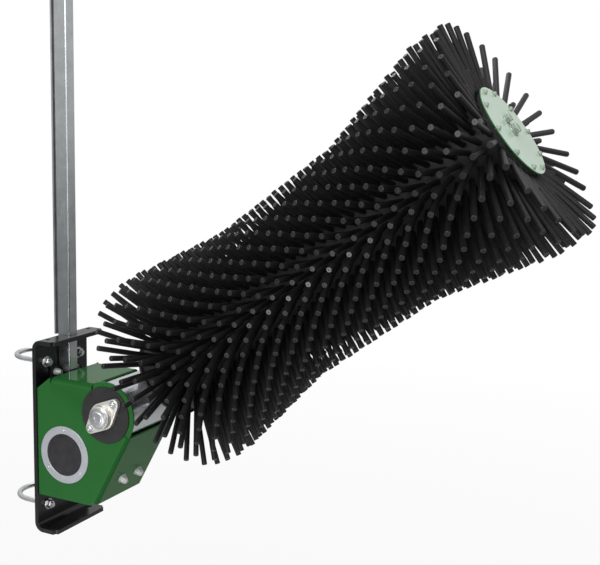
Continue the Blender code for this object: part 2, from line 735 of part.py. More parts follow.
def build_drum(materials, pivot):
    """Drum between the side plates, with an end plate and trunnion at each side."""
    half = HOUSING_WIDTH / 2 - SHEET - DRUM_SIDE_CLEARANCE - DRUM_END_WALL - GAP
    inner = DRUM_RADIUS - DRUM_WALL
    tube = turned(ring_profile(-half, half, inner, DRUM_RADIUS), ROUND_STEPS, axis=Y_AXIS)
    drum = finish_object("pivot_drum", tube, materials["drum_steel"], pivot)
    hole = circle((0, 0), NECK_RADIUS + GAP, MEDIUM_ROUND_STEPS)
    bore = prism(hole, 2 * DRUM_RADIUS, (inner / 2, 0, 0), Y_AXIS, Z_AXIS)
    cut(drum, finish_object("neck_bore", bore, None, pivot))
    bearing_end = HOUSING_WIDTH / 2 + 3 * GAP + PIVOT_DISC_WALL + BEARING_HEIGHT - GAP
    for side, label in ((-1, "left"), (1, "right")):
        spigot_start = half - DRUM_SPIGOT
        rim = half + GAP
        plate_end = rim + DRUM_END_WALL
        profile = [
            (spigot_start, 0),
            (spigot_start, inner - GAP),
            (rim, inner - GAP),
            (rim, DRUM_RADIUS),
            (plate_end, DRUM_RADIUS),
            (plate_end, TRUNNION_RADIUS),
            (bearing_end, TRUNNION_RADIUS),
            (bearing_end, 0),
        ]
        end = turned(profile, ROUND_STEPS, axis=Y_AXIS * side)
        finish_object(f"{label}_drum_end", end, materials["dark_steel"], pivot)


def build_lever(materials, pivot):
    """Stop lever on the back of the drum, opposite the neck."""
    seat = math.sqrt((DRUM_RADIUS + GAP) ** 2 - (LEVER_THICKNESS / 2) ** 2)
    swing = math.asin(LEVER_THICKNESS / 2 / (DRUM_RADIUS + GAP))
    foot = arc((0, 0), DRUM_RADIUS + GAP, math.pi - swing, math.pi + swing, 4)
    half = LEVER_THICKNESS / 2
    tip = arc((-LEVER_REACH + half, 0), half, 3 * math.pi / 2, math.pi / 2, 8)
    outline = foot + [(-seat - half, -half)] + tip + [(-seat - half, half)]
    body = prism(outline, LEVER_WIDTH, (0, LEVER_WIDTH / 2, 0), X_AXIS, Z_AXIS)
    finish_object("stop_lever", body, materials["dark_steel"], pivot)


def build_neck(materials, pivot):
    """Neck tube out of the drum into the core, with the motor and gearbox on its end."""
    start = DRUM_RADIUS - DRUM_WALL
    flange = NECK_END - 2 * NECK_WALL
    inner = NECK_RADIUS - NECK_WALL
    profile = [
        (start, inner),
        (start, NECK_RADIUS),
        (flange, NECK_RADIUS),
        (flange, MOTOR_RADIUS),
        (NECK_END, MOTOR_RADIUS),
        (NECK_END, inner),
    ]
    finish_object("neck_tube", turned(profile, MEDIUM_ROUND_STEPS), materials["dark_steel"], pivot)
    motor_start = NECK_END + GAP
    motor_end = motor_start + MOTOR_LENGTH
    valley = MOTOR_RADIUS - MOTOR_FIN_DEPTH
    outline = []
    for fin in range(MOTOR_FINS):
        centre = 2 * math.pi * fin / MOTOR_FINS
        root = 2 * math.pi / MOTOR_FINS / 4
        crest = root * MOTOR_FIN_TAPER
        corners = ((valley, -root), (MOTOR_RADIUS, -crest), (MOTOR_RADIUS, crest), (valley, root))
        for radius, angle in corners:
            outline.append((radius * math.cos(centre + angle), radius * math.sin(centre + angle)))
    body = prism(outline, MOTOR_LENGTH, (motor_start, 0, 0), Y_AXIS, Z_AXIS)
    finish_object("drive_motor", body, materials["motor_paint"], pivot)
    box_start = motor_end + GAP
    box_end = box_start + GEARBOX_LENGTH
    nose_radius = GEARBOX_RADIUS * GEARBOX_NOSE_SHARE
    profile = [
        (box_start, 0),
        (box_start, GEARBOX_RADIUS),
        (box_end - GEARBOX_LENGTH / 4, GEARBOX_RADIUS),
        (box_end, nose_radius),
        (box_end, 0),
    ]
    finish_object("gearbox", turned(profile, MEDIUM_ROUND_STEPS), materials["motor_paint"], pivot)
    return box_end


def build_core(materials, spindle, gearbox_end):
    """Shaft, hub, core tube, bearing and end plates that turn with the bristles."""
    tube_inner = CORE_TUBE_RADIUS - CORE_TUBE_WALL
    plate_end = CORE_START + NEAR_PLATE_WALL
    tube_start = plate_end + GAP
    disc_start = CORE_END - END_DISC_WALL
    far_start = disc_start - GAP - FAR_PLATE_WALL
    tube_end = far_start - GAP
    bearing_radius = NECK_RADIUS + (tube_inner - NECK_RADIUS) / 2
    near = ring_profile(CORE_START, plate_end, NECK_RADIUS + 2 * BORE_CLEARANCE, NEAR_PLATE_RADIUS)
    finish_object("near_end_plate", turned(near, ROUND_STEPS), materials["core_plastic"], spindle)
    seat_end = tube_start + HUB_WALL
    seat = ring_profile(tube_start, seat_end, bearing_radius + GAP, tube_inner - GAP)
    finish_object("bearing_seat", turned(seat, MEDIUM_ROUND_STEPS), materials["dark_steel"], spindle)
    bearing = ring_profile(tube_start, seat_end, NECK_RADIUS + GAP, bearing_radius)
    finish_object("core_bearing", turned(bearing, MEDIUM_ROUND_STEPS), materials["zinc"], spindle)
    tube = ring_profile(tube_start, tube_end, tube_inner, CORE_TUBE_RADIUS)
    finish_object("core_tube", turned(tube, ROUND_STEPS), materials["dark_steel"], spindle)
    shaft_start = gearbox_end + GAP
    hub_start = shaft_start + HUB_WALL
    hub_end = hub_start + HUB_WALL
    boss_end = hub_start + HUB_BOSS_LENGTH
    shaft = disc_profile(shaft_start, boss_end, SHAFT_RADIUS)
    finish_object("output_shaft", turned(shaft, MEDIUM_ROUND_STEPS), materials["zinc"], spindle)
    hub = [
        (hub_start, SHAFT_RADIUS + GAP),
        (hub_start, tube_inner - GAP),
        (hub_end, tube_inner - GAP),
        (hub_end, HUB_BOSS_RADIUS),
        (boss_end, HUB_BOSS_RADIUS),
        (boss_end, SHAFT_RADIUS + GAP),
    ]
    finish_object("drive_hub", turned(hub, MEDIUM_ROUND_STEPS), materials["dark_steel"], spindle)
    far = disc_profile(far_start, disc_start - GAP, FAR_PLATE_RADIUS)
    finish_object("far_end_plate", turned(far, ROUND_STEPS), materials["core_plastic"], spindle)
    disc = disc_profile(disc_start, CORE_END, END_DISC_RADIUS, END_DISC_CHAMFER)
    finish_object("end_disc", turned(disc, ROUND_STEPS), materials["end_disc_paint"], spindle)
    head = CORE_END + GAP
    centre = circle((0, 0), CENTRE_BOLT_RADIUS, 6)
    bolt = prism(centre, END_BOLT_HEIGHT, (head, 0, 0), Y_AXIS, Z_AXIS)
    finish_object("centre_bolt", bolt, materials["zinc"], spindle)
    side = circle((0, SIDE_BOLT_OFFSET), SIDE_BOLT_RADIUS, 6)
    bolt = prism(side, END_BOLT_HEIGHT, (head, 0, 0), Y_AXIS, Z_AXIS)
    finish_object("side_bolt", bolt, materials["zinc"], spindle)
    return plate_end + GAP, far_start - GAP


def tip_radius(along):
    """Radius of the hourglass at a distance along the brush's axis: a waist between two cones."""
    near = NEAR_SLOPE * (NEAR_WAIST_END - along)
    far = FAR_SLOPE * (along - FAR_WAIST_END)
    return min(WAIST_RADIUS + max(near, far, 0.0), FLARE_RADIUS)


def tip_place(row, row_count):
    """Distance of a row's tips along the axis; the rows at both ends lean outward."""
    from_middle = row - (row_count - 1) / 2
    from_end = min(row, row_count - 1 - row)
    share = max(1 - from_end / LEANING_ROWS, 0.0)
    lean = END_LEAN * share * share * (3 - 2 * share)
    return TIP_MIDDLE + TIP_PITCH * from_middle + math.copysign(lean, from_middle)


def ring_of(mesh_data, along, radius, angles):
    """Vertices round the brush's axis at the given angles."""
    return [
        mesh_data.verts.new((along, radius * math.cos(angle), radius * math.sin(angle)))
        for angle in angles
    ]


def bridge_rings(mesh_data, low, high):
    """Wall between two rings with as many vertices each."""
    count = len(low)
    for k in range(count):
        n = (k + 1) % count
        mesh_data.faces.new((low[k], low[n], high[n], high[k]))


def add_bristle(mesh_data, foot, shift):
    """One straight three-sided rod that grows out of three vertices of the sleeve."""
    tip = [mesh_data.verts.new(vert.co + shift) for vert in foot]
    bridge_rings(mesh_data, foot, tip)
    mesh_data.faces.new(tip)


def build_ring(mesh_data, low, high, rows):
    """One sleeve whose outside is netted between the feet of its bristles.

    Each row is (root, tip, first angle); a foot has two vertices toward the low end and one
    toward the high end. Rows stand half a pitch apart, and a ring has an odd number of them.
    """
    count = BRISTLES_PER_ROW
    turn = 2 * math.pi / count
    spread = math.asin(BRISTLE_RADIUS * math.sqrt(3) / 2 / RING_RADIUS)
    bore = (CORE_TUBE_RADIUS + GAP) / math.cos(turn / 2)
    first = rows[0][2] - turn / 2
    before = ring_of(mesh_data, low, RING_RADIUS, [first + turn * k for k in range(count)])
    start_bore = ring_of(mesh_data, low, bore, [first + turn * k for k in range(count)])
    bridge_rings(mesh_data, start_bore, before)
    for root_x, tip_x, angle in rows:
        middles = [angle + turn * k for k in range(count)]
        back = root_x - BRISTLE_RADIUS / 2
        left = ring_of(mesh_data, back, RING_RADIUS, [m - spread for m in middles])
        right = ring_of(mesh_data, back, RING_RADIUS, [m + spread for m in middles])
        point = ring_of(mesh_data, root_x + BRISTLE_RADIUS, RING_RADIUS, middles)
        rise = tip_radius(tip_x) - RING_RADIUS * math.cos(spread)
        for k in range(count):
            n = (k + 1) % count
            mesh_data.faces.new((before[k], before[n], right[k], left[k]))
            mesh_data.faces.new((before[n], left[n], right[k]))
            mesh_data.faces.new((right[k], left[n], point[n], point[k]))
            out = Vector((0, math.cos(middles[k]), math.sin(middles[k])))
            shift = X_AXIS * (tip_x - root_x) + out * rise
            add_bristle(mesh_data, (left[k], right[k], point[k]), shift)
        before = point
        last = angle
    end = ring_of(mesh_data, high, RING_RADIUS, [last + turn * k for k in range(count)])
    end_bore = ring_of(mesh_data, high, bore, [last + turn * (k - 0.5) for k in range(count)])
    bridge_rings(mesh_data, before, end)
    bridge_rings(mesh_data, end, end_bore)
    skip = (len(rows) - 1) // 2
    bridge_rings(mesh_data, end_bore, start_bore[skip:] + start_bore[:skip])


def build_bristle_rings(materials, spindle, start, end):
    """Sleeves on the core tube, each with staggered rows of bristles."""
    row_count = RING_COUNT * ROWS_PER_RING
    length = (end - start) / RING_COUNT
    row_pitch = length / ROWS_PER_RING
    turn = 2 * math.pi / BRISTLES_PER_ROW
    for ring_index in range(RING_COUNT):
        low = start + ring_index * length
        rows = []
        for row_index in range(ROWS_PER_RING):
            row = ring_index * ROWS_PER_RING + row_index
            root_x = start + (row + 0.5) * row_pitch
            rows.append((root_x, tip_place(row, row_count), turn / 2 * row))
        mesh_data = bmesh.new()
        build_ring(mesh_data, low, low + length - GAP, rows)
        name = f"bristle_ring_{ring_index + 1}"
        finish_object(name, mesh_data, materials["bristle_plastic"], spindle)


def main():
    """Build the whole brush."""
    clear_scene()
    materials = make_materials()
    build_bracket(materials)
    build_u_bolts(materials)
    build_mast(materials)
    build_housing(materials)
    for side, label in ((-1, "left"), (1, "right")):
        build_pivot_side(materials, side, label)
    build_badge(materials)
    build_stops(materials)
    pivot = make_pivot()
    build_drum(materials, pivot)
    build_lever(materials, pivot)
    gearbox_end = build_neck(materials, pivot)
    spindle = make_spindle(pivot)
    start, end = build_core(materials, spindle, gearbox_end)
    build_bristle_rings(materials, spindle, start, end)


main()
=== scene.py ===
"""Looks of the rotating cow brush: bristles, painted housing, bearings, badge and bolts.

Metres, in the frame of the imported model: +X out from the post, +Y along the pivot drum toward
the far side, +Z up. The near side is at -Y. The brush's own pieces are modelled along +Z and
then laid along the neck.
"""

import json
import logging
import math
import random
from dataclasses import dataclass
from enum import Enum
from typing import Sequence

import bpy
from mathutils import Matrix, Vector


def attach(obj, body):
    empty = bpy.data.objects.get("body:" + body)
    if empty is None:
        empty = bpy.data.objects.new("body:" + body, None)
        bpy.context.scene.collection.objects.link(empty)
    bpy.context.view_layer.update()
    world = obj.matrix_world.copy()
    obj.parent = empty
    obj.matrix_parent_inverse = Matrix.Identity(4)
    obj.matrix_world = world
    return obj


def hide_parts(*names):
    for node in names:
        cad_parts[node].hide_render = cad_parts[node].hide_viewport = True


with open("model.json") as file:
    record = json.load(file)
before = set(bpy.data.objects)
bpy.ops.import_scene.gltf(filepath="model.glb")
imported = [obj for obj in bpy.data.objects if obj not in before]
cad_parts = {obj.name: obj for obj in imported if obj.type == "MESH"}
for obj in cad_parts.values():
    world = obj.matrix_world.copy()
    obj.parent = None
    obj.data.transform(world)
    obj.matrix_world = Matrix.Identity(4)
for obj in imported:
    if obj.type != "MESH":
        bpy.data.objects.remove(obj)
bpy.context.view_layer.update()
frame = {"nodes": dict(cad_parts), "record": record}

log = logging.getLogger("cow_brush")

REST_TILT = math.radians(37.0)
PIVOT = Vector((0.2063, 0.0, 0.0821))
OUTWARD = Vector((1.0, 0.0, 0.0))
SIDE_PLANE = 0.091
BRACKET_TOP = 0.232
GAP = 0.0003
SAME_POINT = 1e-6
NEAR_POINT = 1e-5
CLOUD_RANGE = (0.3, 0.7)

Material = bpy.types.Material
Piece = bpy.types.Object
Socket = bpy.types.NodeSocket
Pair = tuple[float, float]
Triple = tuple[float, float, float]
Colour = Triple
Profile = Sequence[Pair]


class Body(Enum):
    """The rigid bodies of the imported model."""

    FRAME = "frame"
    ARM = "arm"
    BRUSH = "brush"


class Side(Enum):
    """The two side plates, by the sign of Y."""

    LEFT = -1
    RIGHT = 1

    @property
    def label(self) -> str:
        """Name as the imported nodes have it."""
        return self.name.lower()

    @property
    def out(self) -> Vector:
        """Direction out of the housing."""
        return Vector((0.0, float(self.value), 0.0))


class Value:
    """A shader socket that takes part in arithmetic."""

    def __init__(self, nodes: "Nodes", socket: Socket) -> None:
        """Keep the socket and the nodes that it belongs to."""
        self.nodes = nodes
        self.socket = socket

    def math(self, operation: str, other: "Value | float") -> "Value":
        """Add a Math node.

        Args:
            operation: the Math node's operation.
            other: what stands in its second socket.

        Returns:
            The node's result.
        """
        return self.nodes.node("ShaderNodeMath", {"operation": operation}, {0: self, 1: other})

    def __add__(self, other: "Value | float") -> "Value":
        """Sum."""
        return self.math("ADD", other)

    __radd__ = __add__

    def __sub__(self, other: "Value | float") -> "Value":
        """Difference."""
        return self.math("SUBTRACT", other)

    def __mul__(self, other: "Value | float") -> "Value":
        """Product."""
        return self.math("MULTIPLY", other)

    def step(self, low: float, high: float) -> "Value":
        """Rise from 0 at low to 1 at high, both kept apart."""
        return ((self - low) * (1.0 / (high - low))).math("MAXIMUM", 0.0).math("MINIMUM", 1.0)

    def swing(self, reach: float) -> "Value":
        """Centre noise on 0 and let it vary by reach."""
        return (self - 0.5) * reach


class Nodes:
    """A node tree that is added to."""

    def __init__(self, tree: bpy.types.NodeTree) -> None:
        """Keep the tree."""
        self.tree = tree

    def node(self, kind: str, settings: dict, inputs: dict, output: int | str = 0) -> Value:
        """Add a node of any type.

        Args:
            kind: the node's type.
            settings: its properties, set first.
            inputs: socket to number, colour or Value.
            output: which result is wanted.

        Returns:
            The wanted output.
        """
        added = self.tree.nodes.new(kind)
        for key, setting in settings.items():
            setattr(added, key, setting)
        for key, given in inputs.items():
            self.connect(added.inputs[key], given)
        return Value(self, added.outputs[output])

    def connect(self, socket: Socket, given: "Value | float | tuple") -> None:
        """Link a Value, or set a plain number or colour."""
        if isinstance(given, Value):
            self.tree.links.new(given.socket, socket)
        elif isinstance(given, tuple) and len(given) == 3 and socket.type == "RGBA":
            socket.default_value = (*given, 1.0)
        else:
            socket.default_value = given


class Shader(Nodes):
    """One material and the nodes behind its Principled shader."""

    def __init__(self, name: str) -> None:
        """Start a material with a Principled shader."""
        self.material = bpy.data.materials.new(name)
        self.material.use_nodes = True
        super().__init__(self.material.node_tree)
        self.surface = self.tree.nodes["Principled BSDF"]

    def place(self, scale: Triple = (1.0, 1.0, 1.0)) -> Value:
        """Object coordinates, stretched by scale."""
        where = self.node("ShaderNodeTexCoord", {}, {}, "Object")
        return self.node("ShaderNodeMapping", {}, {"Vector": where, "Scale": scale})

    def noise(self, scale: float, detail: float = 3.0, stretch: Triple = (1.0, 1.0, 1.0)) -> Value:
        """Noise from about 0 to 1."""
        inputs = {"Vector": self.place(stretch), "Scale": scale, "Detail": detail}
        return self.node("ShaderNodeTexNoise", {}, inputs, 0)

    def mix(self, share: Value, low: "Value | Colour", high: "Value | Colour") -> Value:
        """Blend two colours."""
        colours = {0: share, 6: low, 7: high}
        return self.node("ShaderNodeMix", {"data_type": "RGBA"}, colours, 2)

    def wear(self, reach: float) -> Value:
        """Mask for a painted edge highlight: 1 on exposed edges and 0 on flats."""
        flat = 0.5
        pointed = self.node("ShaderNodeNewGeometry", {}, {}, "Pointiness")
        return pointed.step(flat + reach, flat + 2.0 * reach)

    def bump(self, height: Value, strength: float, distance: float) -> None:
        """Raise the surface by height."""
        settings = {"Height": height, "Strength": strength, "Distance": distance}
        self.set("Normal", self.node("ShaderNodeBump", {}, settings))

    def set(self, socket: str, given: "Value | float | tuple") -> None:
        """Give the Principled shader's input of this name a value."""
        self.connect(self.surface.inputs[socket], given)


def tint(colour: Colour, gain: float, lift: float = 0.0) -> Colour:
    """Colour made darker or lighter, as far as white."""
    return tuple(min(1.0, gain * channel + lift) for channel in colour)


@dataclass(frozen=True)
class Paint:
    """Sprayed or powder-coated colour with a fine skin, and a painted highlight that draws exposed edges
    paler.
    """

    name: str
    colour: Colour
    roughness: float
    coat: float
    skin: float
    grain: float = 700.0
    specular: float = 0.5
    cloud_scale: float = 9.0
    darker: float = 0.86
    lighter: Pair = (1.10, 0.002)
    # The next three fields paint a highlight on exposed edges: how much paler, how far the mask reaches
    # and how much of it shows.
    edge: Pair = (1.6, 0.012)
    edge_reach: float = 0.02
    edge_share: float = 0.5
    swings: Pair = (0.06, 0.05)
    coat_roughness: float = 0.05
    skin_depth: float = 0.0004

    def build(self) -> Material:
        """Make the material."""
        shader = Shader(self.name)
        cloud = shader.noise(self.cloud_scale)
        low, high = tint(self.colour, self.darker), tint(self.colour, *self.lighter)
        tone = shader.mix(cloud.step(*CLOUD_RANGE), low, high)
        # Painted highlight: exposed edges are drawn paler than the flats.
        edge_highlight = shader.wear(self.edge_reach) * self.edge_share
        shader.set("Base Color", shader.mix(edge_highlight, tone, tint(self.colour, *self.edge)))
        fine = shader.noise(self.grain, 2.0)
        fine_swing, cloud_swing = self.swings
        shader.set("Roughness", self.roughness + fine.swing(fine_swing) + cloud.swing(cloud_swing))
        shader.set("Coat Weight", self.coat)
        shader.set("Coat Roughness", self.coat_roughness)
        shader.set("Specular IOR Level", self.specular)
        shader.bump(fine, self.skin, self.skin_depth)
        return shader.material


@dataclass(frozen=True)
class Metal:
    """Bare or plated metal, with an optional lay of fine lines."""

    name: str
    colour: Colour
    roughness: float
    lay: Triple = (1.0, 1.0, 1.0)
    mottle: float = 0.12
    metallic: float = 1.0
    line_scale: float = 260.0
    cloud_scale: float = 34.0
    detail: float = 4.0
    line_share: float = 0.4
    contrast: Pair = (0.35, 0.65)
    swings: Pair = (0.16, 0.08)
    relief: Pair = (0.10, 0.0003)

    def build(self) -> Material:
        """Make the material."""
        shader = Shader(self.name)
        lines = shader.noise(self.line_scale, self.detail, self.lay)
        cloud = shader.noise(self.cloud_scale, self.detail)
        low, high = tint(self.colour, 1.0 - self.mottle), tint(self.colour, 1.0 + self.mottle)
        blend = cloud * (1.0 - self.line_share) + lines * self.line_share
        shader.set("Base Color", shader.mix(blend.step(*self.contrast), low, high))
        shader.set("Metallic", self.metallic)
        line_swing, cloud_swing = self.swings
        shader.set("Roughness", self.roughness + lines.swing(line_swing) + cloud.swing(cloud_swing))
        shader.bump(lines, *self.relief)
        return shader.material


@dataclass(frozen=True)
class Plastic:
    """Moulded or drawn plastic and rubber."""

    name: str
    colour: Colour
    roughness: float
    specular: float = 0.3
    cloud_scale: float = 60.0
    shades: Pair = (0.8, 1.25)
    swing: float = 0.12
    grain: float = 900.0
    relief: Pair = (0.12, 0.0002)

    def build(self) -> Material:
        """Make the material."""
        shader = Shader(self.name)
        cloud = shader.noise(self.cloud_scale)
        low, high = (tint(self.colour, shade) for shade in self.shades)
        shader.set("Base Color", shader.mix(cloud.step(*CLOUD_RANGE), low, high))
        shader.set("Roughness", self.roughness + cloud.swing(self.swing))
        shader.set("Specular IOR Level", self.specular)
        shader.bump(shader.noise(self.grain, 2.0), *self.relief)
        return shader.material


class Finish(Enum):
    """Every finish on the brush, each made once."""

    BLACK_PAINT = Paint("black_paint", (0.006, 0.006, 0.0065), 0.25, 0.1, 0.10, 1400.0, 0.4)
    GREEN_PAINT = Paint("green_paint", (0.0118, 0.0900, 0.0165), 0.10, 0.05, 0.03, 700.0, 0.12)
    # Darker, duller copy of the green paint for the housing's bends: painted shade.
    GREEN_FOLD = Paint("green_fold", (0.006, 0.072, 0.010), 0.16, 0.05, 0.03, 700.0, 0.05)
    END_PAINT = Paint("end_disc_paint", (0.42, 0.57, 0.44), 0.15, 0.5, 0.03)
    ZINC = Metal("zinc", (0.66, 0.67, 0.69), 0.30)
    PALE_ZINC = Metal("pale_zinc", (0.50, 0.52, 0.50), 0.45, mottle=0.04, metallic=0.35)
    END_EDGE = Paint("end_disc_edge", (0.012, 0.085, 0.025), 0.20, 0.3, 0.03)
    END_BOLT = Metal("end_bolt", (0.34, 0.40, 0.35), 0.30, mottle=0.02, metallic=0.55)
    GREEN_ZINC = Metal("green_zinc", (0.30, 0.37, 0.31), 0.34, mottle=0.02, metallic=0.25)
    MAST = Metal("mast_steel", (0.60, 0.63, 0.64), 0.24, (6.0, 6.0, 0.12))
    DRUM = Metal("drum_steel", (0.76, 0.80, 0.82), 0.18, (8.0, 0.2, 8.0), 0.04)
    DARK_STEEL = Metal("dark_steel", (0.10, 0.10, 0.11), 0.45, metallic=0.6)
    BEARING = Metal("bearing_paint", (0.80, 0.775, 0.73), 0.36, mottle=0.08, metallic=0.75)
    DISC_BLACK = Plastic("disc_black", (0.022, 0.021, 0.022), 0.50)
    BADGE_RING = Metal("badge_metal", (0.50, 0.52, 0.56), 0.40, mottle=0.05, metallic=0.55)
    BADGE_FACE = Plastic("badge_face", (0.026, 0.024, 0.027), 0.45)
    RUBBER = Plastic("buffer_rubber", (0.015, 0.015, 0.015), 0.75)
    BRISTLE = Plastic("bristle_plastic", (0.0120, 0.0120, 0.0125), 0.45, 0.28)
    BRISTLE_TIP = Plastic("bristle_tip", (0.015, 0.015, 0.015), 0.27, 0.35)
    BRISTLE_CORE = Plastic("bristle_core", (0.018, 0.018, 0.018), 0.35, 0.5)
    CORE = Plastic("core_plastic", (0.030, 0.030, 0.031), 0.45)
    MOTOR = Paint("motor_paint", (0.16, 0.18, 0.20), 0.45, 0.0, 0.2)

    def material(self) -> Material:
        """The finish's material, made at its first use."""
        made = bpy.data.materials.get("dressed_" + self.value.name)
        if made is None:
            made = self.value.build()
            made.name = "dressed_" + self.value.name
        return made


SLOT_FINISH: dict[str, Finish] = {finish.value.name: finish for finish in Finish}


def along(origin: Vector, axis: Vector, up: Vector | None = None) -> Matrix:
    """Matrix that carries a piece modelled along +Z to a place.

    Args:
        origin: where the piece's own origin goes.
        axis: where its +Z goes.
        up: direction that its +X leans to; any if not given.

    Returns:
        The placing matrix.
    """
    z = axis.normalized()
    guide = up if up is not None else (Vector((0, 0, 1)) if abs(z.z) < 0.9 else Vector((1, 0, 0)))
    x = (guide - z * guide.dot(z)).normalized()
    y = z.cross(x)
    turn = Matrix((x, y, z)).transposed().to_4x4()
    return Matrix.Translation(origin) @ turn


def put(name: str, data: bpy.types.ID) -> Piece:
    """Add an object with this data to the scene."""
    item = bpy.data.objects.new(name, data)
    bpy.context.scene.collection.objects.link(item)
    return item


def coat(piece: Piece, *finishes: Finish) -> None:
    """Give a piece these finishes, in this order, and no others."""
    piece.data.materials.clear()
    for finish in finishes:
        piece.data.materials.append(finish.material())


class Bench:
    """Modelling steps on the active object, as done by hand."""

    @staticmethod
    def named(name: str) -> Piece:
        """The active object, with this name on it and on its mesh."""
        piece = bpy.context.object
        piece.name = piece.data.name = name
        return piece

    @staticmethod
    def open() -> None:
        """Enter edit mode with everything selected."""
        bpy.ops.object.mode_set(mode="EDIT")
        bpy.ops.mesh.select_all(action="SELECT")

    @staticmethod
    def close() -> None:
        """Turn every face outward and leave edit mode."""
        bpy.ops.mesh.select_all(action="SELECT")
        bpy.ops.mesh.normals_make_consistent(inside=False)
        bpy.ops.object.mode_set(mode="OBJECT")

    @staticmethod
    def clear() -> None:
        """Leave nothing selected."""
        if bpy.context.object and bpy.context.object.mode != "OBJECT":
            bpy.ops.object.mode_set(mode="OBJECT")
        bpy.ops.object.select_all(action="DESELECT")

    @staticmethod
    def pick(*items: Piece) -> None:
        """Select these objects and nothing else; the first is the active one."""
        Bench.clear()
        for item in items:
            item.select_set(True)
        bpy.context.view_layer.objects.active = items[0]

    @staticmethod
    def turned(name: str, profile: Profile, sides: int = 64) -> Piece:
        """Raise a turned piece along +Z from a circle, one extrusion a step.

        Args:
            name: the piece's name.
            profile: (radius, height) steps. If the last equals the first, the piece is a ring;
                otherwise both ends are capped.
            sides: steps round.

        Returns:
            The piece, still at the origin.
        """
        Bench.clear()
        first_radius, first_height = profile[0]
        bpy.ops.mesh.primitive_circle_add(
            vertices=sides, radius=first_radius, fill_type="NOTHING", location=(0, 0, first_height)
        )
        piece = Bench.named(name)
        bpy.ops.object.transform_apply(location=True, rotation=True, scale=True)
        Bench.open()
        if profile[0] != profile[-1]:
            bpy.ops.mesh.edge_face_add()
        for (radius, height), (next_radius, next_height) in zip(profile, profile[1:]):
            bpy.ops.mesh.extrude_region_move(
                TRANSFORM_OT_translate={"value": (0, 0, next_height - height)}
            )
            grow = next_radius / radius
            bpy.ops.transform.resize(value=(grow, grow, 1), center_override=(0, 0, next_height))
        bpy.ops.mesh.select_all(action="SELECT")
        bpy.ops.mesh.remove_doubles(threshold=SAME_POINT)
        Bench.close()
        return piece

    @staticmethod
    def plate(name: str, outline: Profile, thickness: float) -> Piece:
        """Raise a flat outline along +Z, starting from a circle moved point by point.

        Args:
            name: the piece's name.
            outline: (x, y) corners, counter-clockwise.
            thickness: height of the plate.

        Returns:
            The piece, still at the origin.
        """
        Bench.clear()
        bpy.ops.mesh.primitive_circle_add(vertices=len(outline), radius=1.0, fill_type="NGON")
        piece = Bench.named(name)
        for vertex, (x, y) in zip(piece.data.vertices, outline):
            vertex.co = (x, y, 0.0)
        Bench.open()
        bpy.ops.mesh.extrude_region_move(TRANSFORM_OT_translate={"value": (0, 0, thickness)})
        Bench.close()
        return piece

    @staticmethod
    def copy_of(node: str, name: str) -> Piece:
        """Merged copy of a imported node's mesh, ready for its edges to be finished."""
        piece = put(name, frame["nodes"][node].data.copy())
        piece.data.name = name
        piece.data.materials.clear()
        Bench.pick(piece)
        Bench.open()
        bpy.ops.mesh.remove_doubles(threshold=NEAR_POINT)
        bpy.ops.mesh.dissolve_limited(angle_limit=math.radians(0.5))
        bpy.ops.object.mode_set(mode="OBJECT")
        return piece

    @staticmethod
    def modify(piece: Piece, kind: str, **settings: object) -> None:
        """Add a modifier, set it and apply it."""
        Bench.pick(piece)
        modifier = piece.modifiers.new(kind.lower(), kind)
        for key, setting in settings.items():
            setattr(modifier, key, setting)
        bpy.ops.object.modifier_apply(modifier=modifier.name)

    @staticmethod
    def bent_rod(name: str, bend: float, radius: float, leg: float) -> Piece:
        """Round rod bent to a U about the origin, with both legs along +X.

        Args:
            name: the piece's name.
            bend: radius of the bend at the rod's middle.
            radius: the rod's own radius.
            leg: length of the straight legs.

        Returns:
            The piece, still at the origin.
        """
        Bench.clear()
        bpy.ops.mesh.primitive_torus_add(
            major_segments=96, minor_segments=24, major_radius=bend, minor_radius=radius
        )
        piece = Bench.named(name)
        bpy.ops.object.mode_set(mode="EDIT")
        bpy.ops.mesh.select_mode(type="VERT")
        for move in ("cut", "extend"):
            bpy.ops.mesh.select_all(action="DESELECT")
            bpy.ops.object.mode_set(mode="OBJECT")
            for vertex in piece.data.vertices:
                middle = abs(vertex.co.x) < NEAR_POINT
                vertex.select = middle if move == "extend" else vertex.co.x > NEAR_POINT
            bpy.ops.object.mode_set(mode="EDIT")
            if move == "cut":
                bpy.ops.mesh.delete(type="VERT")
            else:
                bpy.ops.mesh.extrude_region_move(TRANSFORM_OT_translate={"value": (leg, 0, 0)})
        bpy.ops.mesh.select_all(action="SELECT")
        bpy.ops.mesh.fill_holes(sides=0)
        Bench.close()
        return piece

    @staticmethod
    def bevel(piece: Piece, width: float, segments: int = 2, angle: float = 30.0) -> None:
        """Round the edges that are sharper than angle."""
        size = {"width": width, "segments": segments, "use_clamp_overlap": True}
        limit = {"limit_method": "ANGLE", "angle_limit": math.radians(angle)}
        Bench.modify(piece, "BEVEL", **size, **limit)

    @staticmethod
    def smooth(piece: Piece, angle: float = 35.0) -> None:
        """Shade round faces smooth, keep sharp edges and let large faces stay flat."""
        Bench.pick(piece)
        bpy.ops.object.shade_smooth_by_angle(angle=math.radians(angle))
        Bench.modify(piece, "WEIGHTED_NORMAL", keep_sharp=True, weight=80)

    @staticmethod
    def place(piece: Piece, matrix: Matrix) -> Piece:
        """Move the piece's mesh and leave the object at the origin."""
        piece.matrix_world = Matrix.Identity(4)
        piece.data.transform(matrix)
        piece.data.update()
        return piece

    @staticmethod
    def join(pieces: Sequence[Piece], name: str) -> Piece:
        """Make several pieces one object."""
        Bench.pick(*pieces)
        bpy.ops.object.join()
        return Bench.named(name)


